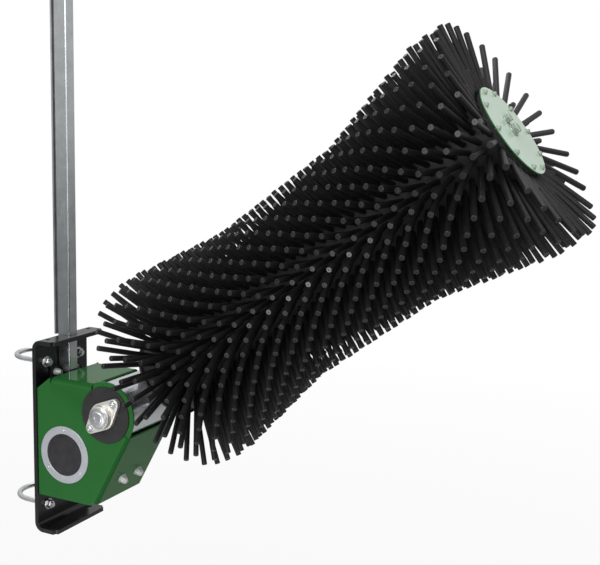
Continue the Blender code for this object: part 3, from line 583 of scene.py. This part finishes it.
def dress(
    piece: Piece,
    finish: Finish,
    body: Body,
    replaced: Sequence[str] = (),
    angle: float = 35.0,
) -> None:
    """Finish a piece and hang it on its body.

    Args:
        piece: the piece, already in place.
        finish: its main finish, unless it has one.
        body: the rigid body that carries it.
        replaced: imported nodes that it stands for.
        angle: edges sharper than this stay sharp.
    """
    if not piece.data.materials:
        coat(piece, finish)
    Bench.smooth(piece, angle)
    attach(piece, body.value)
    if replaced:
        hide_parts(*replaced)
    log.info("%s rides on %s", piece.name, body.value)


def spindle(distance: float = 0.0) -> Matrix:
    """Matrix from +Z work to the neck's axis, starting a distance from the pivot."""
    axis = Vector((math.cos(REST_TILT), 0.0, math.sin(REST_TILT)))
    return along(PIVOT + axis * distance, axis, Vector((-axis.z, 0.0, axis.x)))


@dataclass(frozen=True)
class DomeScrew:
    """Round-headed screw with a socket, and a washer under it unless that is 0.

    What follows sides is a share of the height, of the radius or of the washer's size.
    """

    radius: float
    height: float
    washer: float = 0.0
    sides: int = 20
    base: float = 0.18
    washer_edge: Pair = (0.97, 0.8)
    bare_foot: float = 0.98
    dome: float = math.radians(72)
    dome_rise: float = 0.951
    dome_steps: int = 5
    socket: float = 0.42
    socket_rim: float = 1.15
    socket_floor: float = 0.94
    socket_depth: float = 0.45

    def build(self, name: str, matrix: Matrix) -> Piece:
        """Model the head along +Z and place it.

        Args:
            name: the piece's name.
            matrix: where it goes.

        Returns:
            The screw head.
        """
        r, h = self.radius, self.height
        base = self.base * h
        narrow, low = self.washer_edge
        profile: list[Pair] = [(r * self.bare_foot, 0.0)]
        if self.washer:
            profile = [(self.washer, 0.0), (self.washer, base * low), (self.washer * narrow, base)]
        for step in range(self.dome_steps + 1):
            angle = step / self.dome_steps * self.dome
            rise = (h - base) * math.sin(angle) / self.dome_rise
            profile.append((r * math.cos(angle), base + rise))
        socket = self.socket * r
        edge, top = profile[-1]
        if edge < socket:
            profile[-1] = (socket * self.socket_rim, top)
        profile += [(socket, top), (socket * self.socket_floor, top - self.socket_depth * h)]
        return Bench.place(Bench.turned(name, profile, self.sides), matrix)


@dataclass(frozen=True)
class HexBolt:
    """Hexagon head or nut with a washer.

    What follows washer_wall, apart from edge, is a share of the width, washer or height.
    """

    across: float
    height: float
    washer: float
    washer_wall: float = 0.0022
    bore: float = 0.5096
    washer_edge: Pair = (0.98, 0.75)
    foot: float = 0.5
    crown: float = 0.9
    crown_drop: float = 0.14
    edge: float = 0.0004

    def build(self, name: str, matrix: Matrix) -> Piece:
        """Model washer and hexagon, and place them.

        Args:
            name: the piece's name.
            matrix: where it goes.

        Returns:
            The joined bolt.
        """
        wall, bore = self.washer_wall, self.bore * self.across
        narrow, low = self.washer_edge
        ring = [(bore, 0.0), (self.washer, 0.0), (self.washer, wall * low)]
        ring += [(self.washer * narrow, wall), (bore, wall), (bore, 0.0)]
        washer = Bench.turned(name + "_washer", ring, 48)
        corner = self.across / math.sqrt(3)
        top = wall + self.height
        sides = [(corner, wall * self.foot), (corner, top - self.crown_drop * self.height)]
        hexagon = Bench.turned(name + "_hex", sides + [(corner * self.crown, top)], 6)
        Bench.bevel(hexagon, self.edge)
        return Bench.place(Bench.join([washer, hexagon], name), matrix)


@dataclass(frozen=True)
class Lamp:
    """Square soft light: where it hangs, what it points at, its side and its power in watts."""

    name: str
    place: Triple
    aim: Triple
    size: float
    power: float

    def hang(self) -> None:
        """Put the lamp in the studio."""
        data = bpy.data.lights.new(self.name, "AREA")
        data.size = self.size
        data.energy = self.power
        lamp = put(self.name, data)
        lamp.matrix_world = along(Vector(self.place), Vector(self.place) - Vector(self.aim))


LAMPS = (
    Lamp("key", (0.6, -2.8, 2.0), (0.5, 0.0, 0.3), 2.2, 62.0),
    Lamp("fill", (3.2, -1.2, 0.7), (0.6, 0.0, 0.3), 2.0, 27.0),
    Lamp("top", (0.4, 0.2, 3.2), (0.5, 0.0, 0.2), 2.4, 36.0),
    Lamp("back", (-1.4, 1.6, 2.8), (0.3, 0.0, 0.2), 1.8, 22.0),
    Lamp("low", (0.02, -2.08, -0.68), (0.6, 0.0, 0.4), 0.5, 12.0),
)


@dataclass
class Studio:
    """Floor, lamps, world and the photograph's camera."""

    focal_pixels: float = 1070.04
    image_width: int = 600
    image_height: int = 565
    centre: Pair = (282.85, 275.59)
    spot: Triple = (1.630, -1.977, 0.773)
    azimuth: float = math.radians(27.47)
    dip: float = math.radians(8.91)
    roll: float = math.radians(1.06)
    sensor: float = 36.0
    far_clip: float = 50.0
    gloss_white: float = 0.60
    light_white: float = 0.30
    floor_z: float = -0.95
    floor_side: float = 40.0
    floor_grey: float = 0.55
    floor_roughness: float = 0.9
    fade: Pair = (1.0, 5.0)
    fade_white: Pair = (0.90, 0.10)

    def build(self) -> None:
        """Make everything that isn't the object."""
        self.camera()
        self.world()
        self.floor()
        for lamp in LAMPS:
            lamp.hang()

    def camera(self) -> None:
        """Stand the camera where the photograph was taken from."""
        data = bpy.data.cameras.new("camera")
        data.sensor_width = self.sensor
        data.lens = self.focal_pixels / self.image_width * self.sensor
        data.shift_x = (self.image_width / 2 - self.centre[0]) / self.image_width
        data.shift_y = (self.centre[1] - self.image_height / 2) / self.image_width
        data.clip_end = self.far_clip
        ca, sa = math.cos(self.azimuth), math.sin(self.azimuth)
        ce, se = math.cos(self.dip), math.sin(self.dip)
        forward = Vector((-sa * ce, ca * ce, -se))
        level = Vector((ca, sa, 0.0))
        upright = level.cross(forward)
        right = level * math.cos(self.roll) + upright * math.sin(self.roll)
        up = upright * math.cos(self.roll) - level * math.sin(self.roll)
        turn = Matrix((right, up, -forward)).transposed().to_4x4()
        camera = put("camera", data)
        camera.matrix_world = Matrix.Translation(self.spot) @ turn
        bpy.context.scene.camera = camera

    def world(self) -> None:
        """White to the eye and to gloss, softer as a light."""
        world = bpy.data.worlds.new("studio")
        bpy.context.scene.world = world
        world.use_nodes = True
        nodes = Nodes(world.node_tree)
        seen, through, glossy = (
            nodes.node("ShaderNodeLightPath", {}, {}, f"Is {ray} Ray")
            for ray in ("Camera", "Transmission", "Glossy")
        )
        white = seen.math("MAXIMUM", through).math("MAXIMUM", glossy * self.gloss_white)
        background = nodes.tree.nodes["Background"]
        nodes.connect(background.inputs["Color"], (1.0, 1.0, 1.0))
        nodes.connect(background.inputs["Strength"], white.math("MAXIMUM", self.light_white))

    def floor(self) -> None:
        """A pale floor far below, which fades into the background."""
        Bench.clear()
        bpy.ops.mesh.primitive_plane_add(size=self.floor_side, location=(0.0, 0.0, self.floor_z))
        floor = bpy.context.object
        floor.name = "floor"
        shader = Shader("floor")
        shader.set("Base Color", (self.floor_grey,) * 3)
        shader.set("Roughness", self.floor_roughness)
        path = shader.node("ShaderNodeLightPath", {}, {}, "Is Camera Ray")
        away = shader.node("ShaderNodeVectorMath", {"operation": "LENGTH"}, {0: shader.place()}, "Value")
        near_white, gain = self.fade_white
        pale = away.step(*self.fade) * gain + near_white
        base = Value(shader, shader.surface.outputs[0])
        glow = shader.node("ShaderNodeEmission", {}, {})
        lit = shader.node("ShaderNodeMixShader", {}, {0: path * pale, 1: base, 2: glow})
        shader.connect(shader.tree.nodes["Material Output"].inputs["Surface"], lit)
        floor.data.materials.append(shader.material)


@dataclass
class BristleBrush:
    """Four sleeves with staggered rows of round plastic rods."""

    rings: int = 4
    rows: int = 35
    rows_per_ring: int = 9
    per_row: int = 30
    rod_radius: float = 0.0058
    rod_sides: int = 12
    rod_chamfer: float = 0.0007
    rod_rim: float = 0.62
    dimple: float = 0.22
    dimple_mouth: float = 1.3
    dimple_edge: float = 1.4
    dimple_depth: float = 0.0009
    core_radius: float = 0.0895
    bore: float = 0.0812
    sleeve_start: float = 0.1470
    sleeve_end: float = 1.0784
    sleeve_sides: int = 96
    first_root: float = 0.191
    root_pitch: float = 0.0260
    root_sink: float = 0.003
    first_tip: float = 0.1795
    tip_pitch: float = 0.02626
    near_lean: float = 0.018
    far_lean: float = 0.030
    leaning_rows: int = 4
    waist: float = 0.186
    near_cone: Pair = (0.464, 0.186)
    far_cone: Pair = (0.785, 0.222)
    flare: float = 0.2415
    near_rows: Pair = (0.2290, 0.2326)
    near_turn: float = math.radians(-7.6)
    far_rows: Pair = (0.2410, 0.2383)
    far_turn: float = math.radians(-8.0)
    squeeze: float = math.radians(1.0)
    stub_tip: Pair = (1.0861, 0.1418)
    stub_turn: float = math.radians(10.3)
    stub_inset: float = 0.010
    stubs: int = 10
    wander: float = 0.0010
    seed: int = 7

    def build(self) -> None:
        """Make the rods ring by ring."""
        rod = self.rod()
        draw = random.Random(self.seed)
        for index in range(self.rings):
            self.ring(index, rod, draw)
        bpy.data.objects.remove(rod)

    def end_row(self, row: int) -> Pair | None:
        """Radius and turn of a row at either end, or nothing for the rows between."""
        ends = {k: (radius, self.near_turn) for k, radius in enumerate(self.near_rows)}
        first = self.rows - len(self.far_rows)
        ends |= {first + k: (radius, self.far_turn) for k, radius in enumerate(self.far_rows)}
        return ends.get(row)

    def rod(self) -> Piece:
        """One rod of unit length with a chamfered end and a small dimple."""
        r, dimple = self.rod_radius, self.rod_radius * self.dimple
        profile = [(r, 0.0), (r, 1.0 - self.rod_chamfer), (r - self.rod_chamfer, 1.0)]
        profile += [(r * self.rod_rim, 1.0), (dimple * self.dimple_mouth, 1.0)]
        profile += [(dimple, 1.0 - self.dimple_depth)]
        piece = Bench.turned("rod", profile, self.rod_sides)
        coat(piece, Finish.BRISTLE, Finish.BRISTLE_TIP, Finish.BRISTLE_CORE)
        for face in piece.data.polygons:
            reach = max(math.hypot(*piece.data.vertices[i].co[:2]) for i in face.vertices)
            if face.center.z > 0.5 and face.normal.z > 0.5:
                face.material_index = 1 if reach > dimple * self.dimple_edge else 2
        return piece

    def tip_radius(self, distance: float) -> float:
        """Radius of the hourglass at a distance along the axis: a waist between two cones."""
        near = self.near_cone[1] * (self.near_cone[0] - distance)
        far = self.far_cone[1] * (distance - self.far_cone[0])
        return min(self.waist + max(near, far, 0.0), self.flare)

    def tip_place(self, row: int) -> float:
        """Distance of a row's tips along the axis; the rows at both ends lean outward."""
        near = max(1 - row / self.leaning_rows, 0.0) * self.near_lean
        far = max(1 - (self.rows - 1 - row) / self.leaning_rows, 0.0) * self.far_lean
        return self.first_tip + self.tip_pitch * row - near + far

    def ring(self, index: int, rod: Piece, draw: random.Random) -> None:
        """Set one sleeve's rods.

        Args:
            index: which sleeve, from the neck outward.
            rod: the rod that is copied.
            draw: source of the small differences between rods.
        """
        length = (self.sleeve_end - self.sleeve_start) / self.rings
        low = self.sleeve_start + index * length
        high = low + length - GAP
        name = f"bristle_ring_{index + 1}"
        sleeve = [(self.bore, low), (self.core_radius, low), (self.core_radius, high)]
        sleeve += [(self.bore, high), (self.bore, low)]
        parts = [Bench.turned(name + "_sleeve", sleeve, self.sleeve_sides)]
        coat(parts[0], Finish.BRISTLE)
        first = index * self.rows_per_ring
        for row in range(first, min(first + self.rows_per_ring, self.rows)):
            parts += self.row(row, rod, draw)
        if index == self.rings - 1:
            parts += self.short_rods(rod)
        ring = Bench.join(parts, name + "_rods")
        Bench.place(ring, spindle())
        dress(ring, Finish.BRISTLE, Body.BRUSH, [name], 40.0)

    def row(self, row: int, rod: Piece, draw: random.Random) -> list[Piece]:
        """The rods of one row, each a little off its place; end rows stand in threes."""
        root_z = self.first_root + self.root_pitch * row
        tip_z = self.tip_place(row)
        end = self.end_row(row)
        pitch = 2 * math.pi / self.per_row
        tip_r, turn = end or (self.tip_radius(tip_z), 0.5 * pitch * (row % 2))
        squeeze = self.squeeze if end else 0.0
        rods = []
        for k in range(self.per_row):
            angle = turn + pitch * k + squeeze * (0, -1, 1)[k % 3]
            angle_tip = angle + draw.uniform(-1, 1) * self.wander / tip_r
            shift = draw.uniform(-1, 1) * self.wander
            stretch = draw.uniform(-1, 0.2) * self.wander
            root = self.polar(self.core_radius - self.root_sink, angle, root_z)
            tip = self.polar(tip_r + stretch, angle_tip, tip_z + shift)
            rods.append(self.set_rod(rod, root, tip))
        return rods

    def short_rods(self, rod: Piece) -> list[Piece]:
        """Short straight rods between the groups of the last row."""
        rods = []
        tip_z, tip_r = self.stub_tip
        root_z = self.sleeve_end - self.stub_inset
        for k in range(self.stubs):
            angle = self.stub_turn + 2 * math.pi * k / self.stubs
            root = self.polar(self.core_radius - self.root_sink, angle, root_z)
            rods.append(self.set_rod(rod, root, self.polar(tip_r, angle, tip_z)))
        return rods

    @staticmethod
    def polar(radius: float, angle: float, z: float) -> Vector:
        """Point round the brush's axis; angle 0 is toward the bearing side and grows upward."""
        return Vector((radius * math.sin(angle), radius * math.cos(angle), z))

    def set_rod(self, rod: Piece, root: Vector, tip: Vector) -> Piece:
        """Copy the rod between two points, stretched along its length only."""
        length = (tip - root).length
        copy = put("rod_copy", rod.data.copy())
        for vertex in copy.data.vertices:
            if vertex.co.z > 0.5:
                vertex.co.z += length - 1.0
        return Bench.place(copy, along(root, tip - root, Vector((0, 0, 1))))


@dataclass
class BrushEnds:
    """Near end plate, far rim and the green end disc with its screws."""

    near: float = 0.1407
    near_wall: float = 0.006
    near_radius: float = 0.095
    neck_hole: float = 0.031
    far_start: float = 1.0787
    far_wall: float = 0.0105
    far_radius: float = 0.0925
    disc_end: float = 1.093
    disc_wall: float = 0.0035
    disc_radius: float = 0.0985
    lip: float = 0.001
    screw_circle: float = 0.0883
    screws: int = 10
    screw_turn: float = math.radians(3.2)
    rim_screw: DomeScrew = DomeScrew(0.0046, 0.0058, 0.0060)
    centre_bolt: HexBolt = HexBolt(0.0185, 0.0095, 0.0138, 0.0020)
    side_bolt: HexBolt = HexBolt(0.0150, 0.0085, 0.0098, 0.0016)
    side_offset: float = 0.024

    def build(self) -> None:
        """Make the ends and their screws."""
        self.plates()
        self.disc()
        for k in range(self.screws):
            angle = self.screw_turn + 2 * math.pi * k / self.screws
            spot = BristleBrush.polar(self.screw_circle, angle, self.disc_end + GAP / 2)
            head = self.rim_screw.build(f"rim_screw_{k + 1}", spindle() @ Matrix.Translation(spot))
            dress(head, Finish.GREEN_ZINC, Body.BRUSH)
        self.bolts()

    def plates(self) -> None:
        """The near plate round the neck, and the plate behind the end disc."""
        rim, top = self.near_radius, self.near + self.near_wall
        near = [(self.neck_hole, self.near), (rim - self.lip, self.near), (rim, self.near + self.lip)]
        near += [(rim, top), (self.neck_hole, top), near[0]]
        far_end = self.far_start + self.far_wall
        far = [(self.far_radius, self.far_start), (self.far_radius, far_end)]
        for name, profile in (("near", near), ("far", far)):
            piece = Bench.place(Bench.turned(f"{name}_plate", profile, 128), spindle())
            dress(piece, Finish.CORE, Body.BRUSH, [f"{name}_end_plate"])

    def disc(self) -> None:
        """The end disc, pale on its face and green on its edge."""
        start, end, rim = self.disc_end - self.disc_wall, self.disc_end, self.disc_radius
        disc = [(rim - self.lip, start), (rim, start + self.lip)]
        disc += [(rim, end - self.lip), (rim - self.lip, end)]
        piece = Bench.turned("end_plate", disc, 160)
        coat(piece, Finish.END_PAINT, Finish.END_EDGE)
        for face in piece.data.polygons:
            face.material_index = 0 if face.normal.z > 0.9 else 1
        Bench.place(piece, spindle())
        dress(piece, Finish.END_PAINT, Body.BRUSH, ["end_disc"])

    def bolts(self) -> None:
        """The centre bolt with its washer, and the smaller one beside it."""
        start = self.disc_end + GAP
        piece = self.centre_bolt.build("centre_head", spindle(start))
        dress(piece, Finish.END_BOLT, Body.BRUSH, ["centre_bolt"])
        offset = Matrix.Translation((self.side_offset, 0.0, 0.0))
        piece = self.side_bolt.build("side_head", spindle(start) @ offset)
        dress(piece, Finish.END_BOLT, Body.BRUSH, ["side_bolt"])


@dataclass
class Pivot:
    """Bright drum, black discs and flange bearings."""

    drum_edge: float = 0.0006
    disc_radius: float = 0.065
    disc_start: float = SIDE_PLANE + GAP
    disc_wall: float = 0.003
    disc_lip: float = 0.0008
    disc_bore: float = 0.0165
    bolt_spacing: float = 0.090
    lean: float = math.radians(45.0)
    base_wall: float = 0.012
    base_edge: float = 0.0018
    body_radius: float = 0.031
    ear_radius: float = 0.0125
    boss: Profile = ((0.0290, 0.0110), (0.0270, 0.0150), (0.0262, 0.0225), (0.0245, 0.0240))
    cap_foot: Profile = ((0.0235, 0.0), (0.0235, 0.35), (0.0222, 0.55), (0.0160, 0.62))
    cap_dome: Profile = ((0.0145, 0.75), (0.0138, 0.95), (0.0128, 1.0), (0.0075, 1.0), (0.0068, 0.78))
    cap_height: float = 0.007
    flange_screw: DomeScrew = DomeScrew(0.0078, 0.0058, 0.0092, 28)

    def build(self) -> None:
        """Make the drum and both sides."""
        drum = Bench.copy_of("pivot_drum", "polished_drum")
        Bench.bevel(drum, self.drum_edge)
        dress(drum, Finish.DRUM, Body.ARM, ["pivot_drum"])
        for side in Side:
            self.disc(side)
            self.bearing(side)

    def at(self, side: Side, height: float) -> Matrix:
        """Place on a side plate at the drum's axis, with +X toward the upper bolt."""
        direction = Vector((math.cos(self.lean), 0.0, math.sin(self.lean)))
        return along(PIVOT + side.out * height, side.out, direction)

    def disc(self, side: Side) -> None:
        """Black disc with a small lip."""
        wall, lip, bore = self.disc_wall, self.disc_lip, self.disc_bore
        ring = [(bore, 0.0), (self.disc_radius, 0.0), (self.disc_radius, wall - lip)]
        ring += [(self.disc_radius - lip, wall), (bore, wall), (bore, 0.0)]
        piece = Bench.turned(f"{side.label}_black_disc", ring, 128)
        Bench.place(piece, self.at(side, self.disc_start))
        dress(piece, Finish.DISC_BLACK, Body.FRAME, [f"{side.label}_pivot_disc"])

    def outline(self) -> list[Pair]:
        """Two-bolt flange seen from outside."""
        reach = self.bolt_spacing / 2
        tangent = math.acos((self.body_radius - self.ear_radius) / reach)
        points = []
        for centre, radius, start, end, steps in (
            (reach, self.ear_radius, -tangent, tangent, 12),
            (0.0, self.body_radius, tangent, math.pi - tangent, 14),
            (-reach, self.ear_radius, math.pi - tangent, math.pi + tangent, 12),
            (0.0, self.body_radius, math.pi + tangent, 2 * math.pi - tangent, 14),
        ):
            for i in range(steps + 1):
                angle = start + (end - start) * i / steps
                points.append((centre + radius * math.cos(angle), radius * math.sin(angle)))
        return points

    def bearing(self, side: Side) -> None:
        """Cast flange, boss, domed cap and two bolt heads."""
        start = self.disc_start + self.disc_wall + GAP
        label = side.label
        base = Bench.plate(f"{label}_flange", self.outline(), self.base_wall)
        Bench.bevel(base, self.base_edge, 3, 60.0)
        boss = Bench.turned(f"{label}_boss", self.boss, 96)
        casting = Bench.join([base, boss], f"{label}_bearing_casting")
        Bench.place(casting, self.at(side, start))
        dress(casting, Finish.BEARING, Body.FRAME, [f"{label}_flange_bearing"])
        steps = [(radius, self.cap_height * share) for radius, share in self.cap_foot + self.cap_dome]
        cap = Bench.turned(f"{label}_cap", steps, 96)
        boss_top = self.boss[-1][1]
        Bench.place(cap, self.at(side, start + boss_top + GAP))
        dress(cap, Finish.ZINC, Body.FRAME, [f"{label}_bearing_cap"])
        head_place = self.at(side, start + self.base_wall + GAP)
        for name, sign in (("upper", 1), ("lower", -1)):
            offset = Matrix.Translation((sign * self.bolt_spacing / 2, 0.0, 0.0))
            head = self.flange_screw.build(f"{label}_{name}_flange_screw", head_place @ offset)
            dress(head, Finish.ZINC, Body.FRAME, [f"{label}_{name}_bearing_bolt"])


@dataclass
class Housing:
    """Folded green sheet with rounded edges, its badge and front bolts."""

    shell_edge: float = 0.0006
    # Bend faces, whose normal's Y share lies in this range, take the darker green copy of the paint:
    # painted shade.
    fold: Pair = (0.10, 0.95)
    badge: Pair = (0.089, -0.0305)
    ring_radius: float = 0.068
    ring_wall: float = 0.003
    ring_lip: float = 0.0007
    face_radius: float = 0.050
    face_wall: float = 0.002
    face_middle: float = 0.004
    grooves: Pair = (0.0445, 0.0385)
    groove_half: float = 0.0004
    groove_depth: float = 0.0005
    badge_screw: DomeScrew = DomeScrew(0.0030, 0.0020, sides=16)
    badge_screw_angles: Triple = (90.0, 218.0, 322.0)
    front_slope: float = math.radians(62.0)
    nose_radius: float = 0.0765
    bolt_reach: float = 0.146
    bolt_spacing: float = 0.062
    front_screw: DomeScrew = DomeScrew(0.0098, 0.0180, 0.0118, 28)

    def build(self) -> None:
        """Make the shell and what sits on it."""
        shell = Bench.copy_of("housing_shell", "green_shell")
        Bench.bevel(shell, self.shell_edge, 2, 50.0)
        coat(shell, Finish.GREEN_PAINT, Finish.GREEN_FOLD)
        # Bend faces take the darker green copy of the paint: painted shade.
        low, high = self.fold
        for face in shell.data.polygons:
            face.material_index = 1 if low < abs(face.normal.y) < high else 0
        dress(shell, Finish.GREEN_PAINT, Body.FRAME, ["housing_shell"], 30.0)
        self.badge_plate()
        self.front_bolts()

    def badge_plate(self) -> None:
        """Ring with three screws round a bare dark plate that has two fine grooves."""
        centre = Vector((self.badge[0], -SIDE_PLANE, self.badge[1]))
        place = along(centre, Side.LEFT.out)
        wall, lip = self.ring_wall, self.ring_lip
        inner, outer = self.face_radius, self.ring_radius
        ring = [(inner, GAP), (outer, GAP), (outer, wall - lip), (outer - lip, wall)]
        ring += [(inner + lip, wall), (inner, wall - lip), (inner, GAP)]
        piece = Bench.place(Bench.turned("badge_rim", ring, 128), place)
        dress(piece, Finish.BADGE_RING, Body.FRAME, ["badge_ring"])
        top, half = self.face_wall + GAP, self.groove_half
        steps = [(inner - GAP, GAP), (inner - GAP, top)]
        for groove in self.grooves:
            steps += [(groove + half, top), (groove, top - self.groove_depth), (groove - half, top)]
        steps += [(self.face_middle, top)]
        piece = Bench.place(Bench.turned("badge_centre", steps, 128), place)
        dress(piece, Finish.BADGE_FACE, Body.FRAME, ["badge_plate"])
        middle = (inner + outer) / 2
        for k, angle in enumerate(self.badge_screw_angles):
            turn = math.radians(angle)
            spot = centre + Vector((middle * math.cos(turn), -wall - GAP, middle * math.sin(turn)))
            head = self.badge_screw.build(f"badge_screw_{k + 1}", along(spot, Side.LEFT.out))
            dress(head, Finish.ZINC, Body.FRAME)

    def front_bolts(self) -> None:
        """Two bolts on the slanted plate that hold the buffers behind it."""
        up = Vector((math.cos(self.front_slope), 0.0, math.sin(self.front_slope)))
        normal = Vector((math.sin(self.front_slope), 0.0, -math.cos(self.front_slope)))
        for side in Side:
            spot = PIVOT + normal * (self.nose_radius + GAP) - up * self.bolt_reach
            spot += Vector((0.0, side.value * self.bolt_spacing / 2, 0.0))
            head = self.front_screw.build(f"{side.label}_buffer_screw", along(spot, normal))
            dress(head, Finish.PALE_ZINC, Body.FRAME, [f"{side.label}_front_bolt"])


@dataclass
class PostBracket:
    """Bent black plate, U-bolts, nuts, rear bolts and the mast."""

    leg: float = 0.059
    post: float = 0.051
    rod_radius: float = 0.0060
    rod_tip: float = 0.0262
    row: float = 0.1745
    wall: float = 0.010
    plate_edge: float = 0.0012
    nut: HexBolt = HexBolt(0.0185, 0.0095, 0.0135, 0.0024)
    rear_bolt: Triple = (0.0166, 0.032, 0.146)
    rear_screw: DomeScrew = DomeScrew(0.0085, 0.0180, 0.0, 28)
    mast_top: float = 1.060
    rail: Profile = (
        (0.0005, -0.0148), (0.0050, -0.0148), (0.0050, 0.0118),
        (0.0101, 0.0118), (0.0101, 0.0148), (0.0005, 0.0148),
    )
    # Dark block that fills the rail's open slot, where there is only shade: painted shade.
    strip: Profile = ((0.0052, -0.0100), (0.0099, -0.0100), (0.0099, 0.0116), (0.0052, 0.0116))
    cap_edge: float = 0.0010

    def build(self) -> None:
        """Make the bracket's pieces."""
        plate = Bench.copy_of("bracket", "bent_plate")
        Bench.bevel(plate, self.plate_edge, 3, 50.0)
        dress(plate, Finish.BLACK_PAINT, Body.FRAME, ["bracket"], 30.0)
        rows = (("upper", self.row), ("lower", -self.row))
        for row, height in rows:
            rod = Bench.bent_rod(f"{row}_bent_rod", self.leg, self.rod_radius, self.post + self.rod_tip)
            Bench.place(rod, Matrix.Translation((-self.post, 0.0, height)))
            dress(rod, Finish.ZINC, Body.FRAME, [f"{row}_u_bolt"], 60.0)
        for row, height in rows:
            for side in Side:
                spot = Vector((self.wall + GAP, side.value * self.leg, height))
                piece = self.nut.build(f"{row}_{side.label}_hex_nut", along(spot, OUTWARD))
                dress(piece, Finish.ZINC, Body.FRAME, [f"{row}_{side.label}_nut"])
        out, apart, height = self.rear_bolt
        for side in Side:
            spot = Vector((out, side.value * apart, height))
            head = self.rear_screw.build(f"{side.label}_back_screw", along(spot, OUTWARD))
            dress(head, Finish.PALE_ZINC, Body.FRAME, [f"{side.label}_rear_bolt"])
        self.mast()

    def mast(self) -> None:
        """Square tube with rounded corners, the rail beside it with a dark block painting the shade in
        its slot, and its cap.
        """
        tube = Bench.copy_of("mast_tube", "bright_mast")
        dress(tube, Finish.MAST, Body.FRAME, ["mast_tube"], 50.0)
        foot, top = BRACKET_TOP + GAP, self.mast_top - GAP
        for name, outline, finish in (
            ("mast_rail", self.rail, Finish.MAST),
            # The dark steel block stands in for the shade inside the rail's slot: painted shade.
            ("mast_strip", self.strip, Finish.DARK_STEEL),
        ):
            piece = Bench.plate(name, outline, top - foot)
            Bench.place(piece, Matrix.Translation((0.0, 0.0, foot)))
            dress(piece, finish, Body.FRAME)
        cap = Bench.copy_of("mast_cap", "mast_end_cap")
        Bench.bevel(cap, self.cap_edge, 3, 50.0)
        dress(cap, Finish.DISC_BLACK, Body.FRAME, ["mast_cap"])


class PackedNodes:
    """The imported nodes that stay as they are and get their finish."""

    def build(self) -> None:
        """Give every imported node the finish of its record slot."""
        for row in frame["record"]["subparts"]:
            node = frame["nodes"][row["node"]]
            finish = SLOT_FINISH[row["material_slot"]]
            coat(node, finish)
            log.info("%s wears %s", node.name, finish.value.name)


def main() -> None:
    """Build the studio and every sub-assembly in order."""
    logging.basicConfig(level=logging.INFO, format="%(message)s")
    bpy.context.scene.view_settings.view_transform = "Standard"
    for kind in (Studio, PackedNodes, PostBracket, Housing, Pivot, BrushEnds, BristleBrush):
        part = kind()
        log.info("building %s", kind.__name__)
        part.build()


if __name__ == "__main__":
    main()
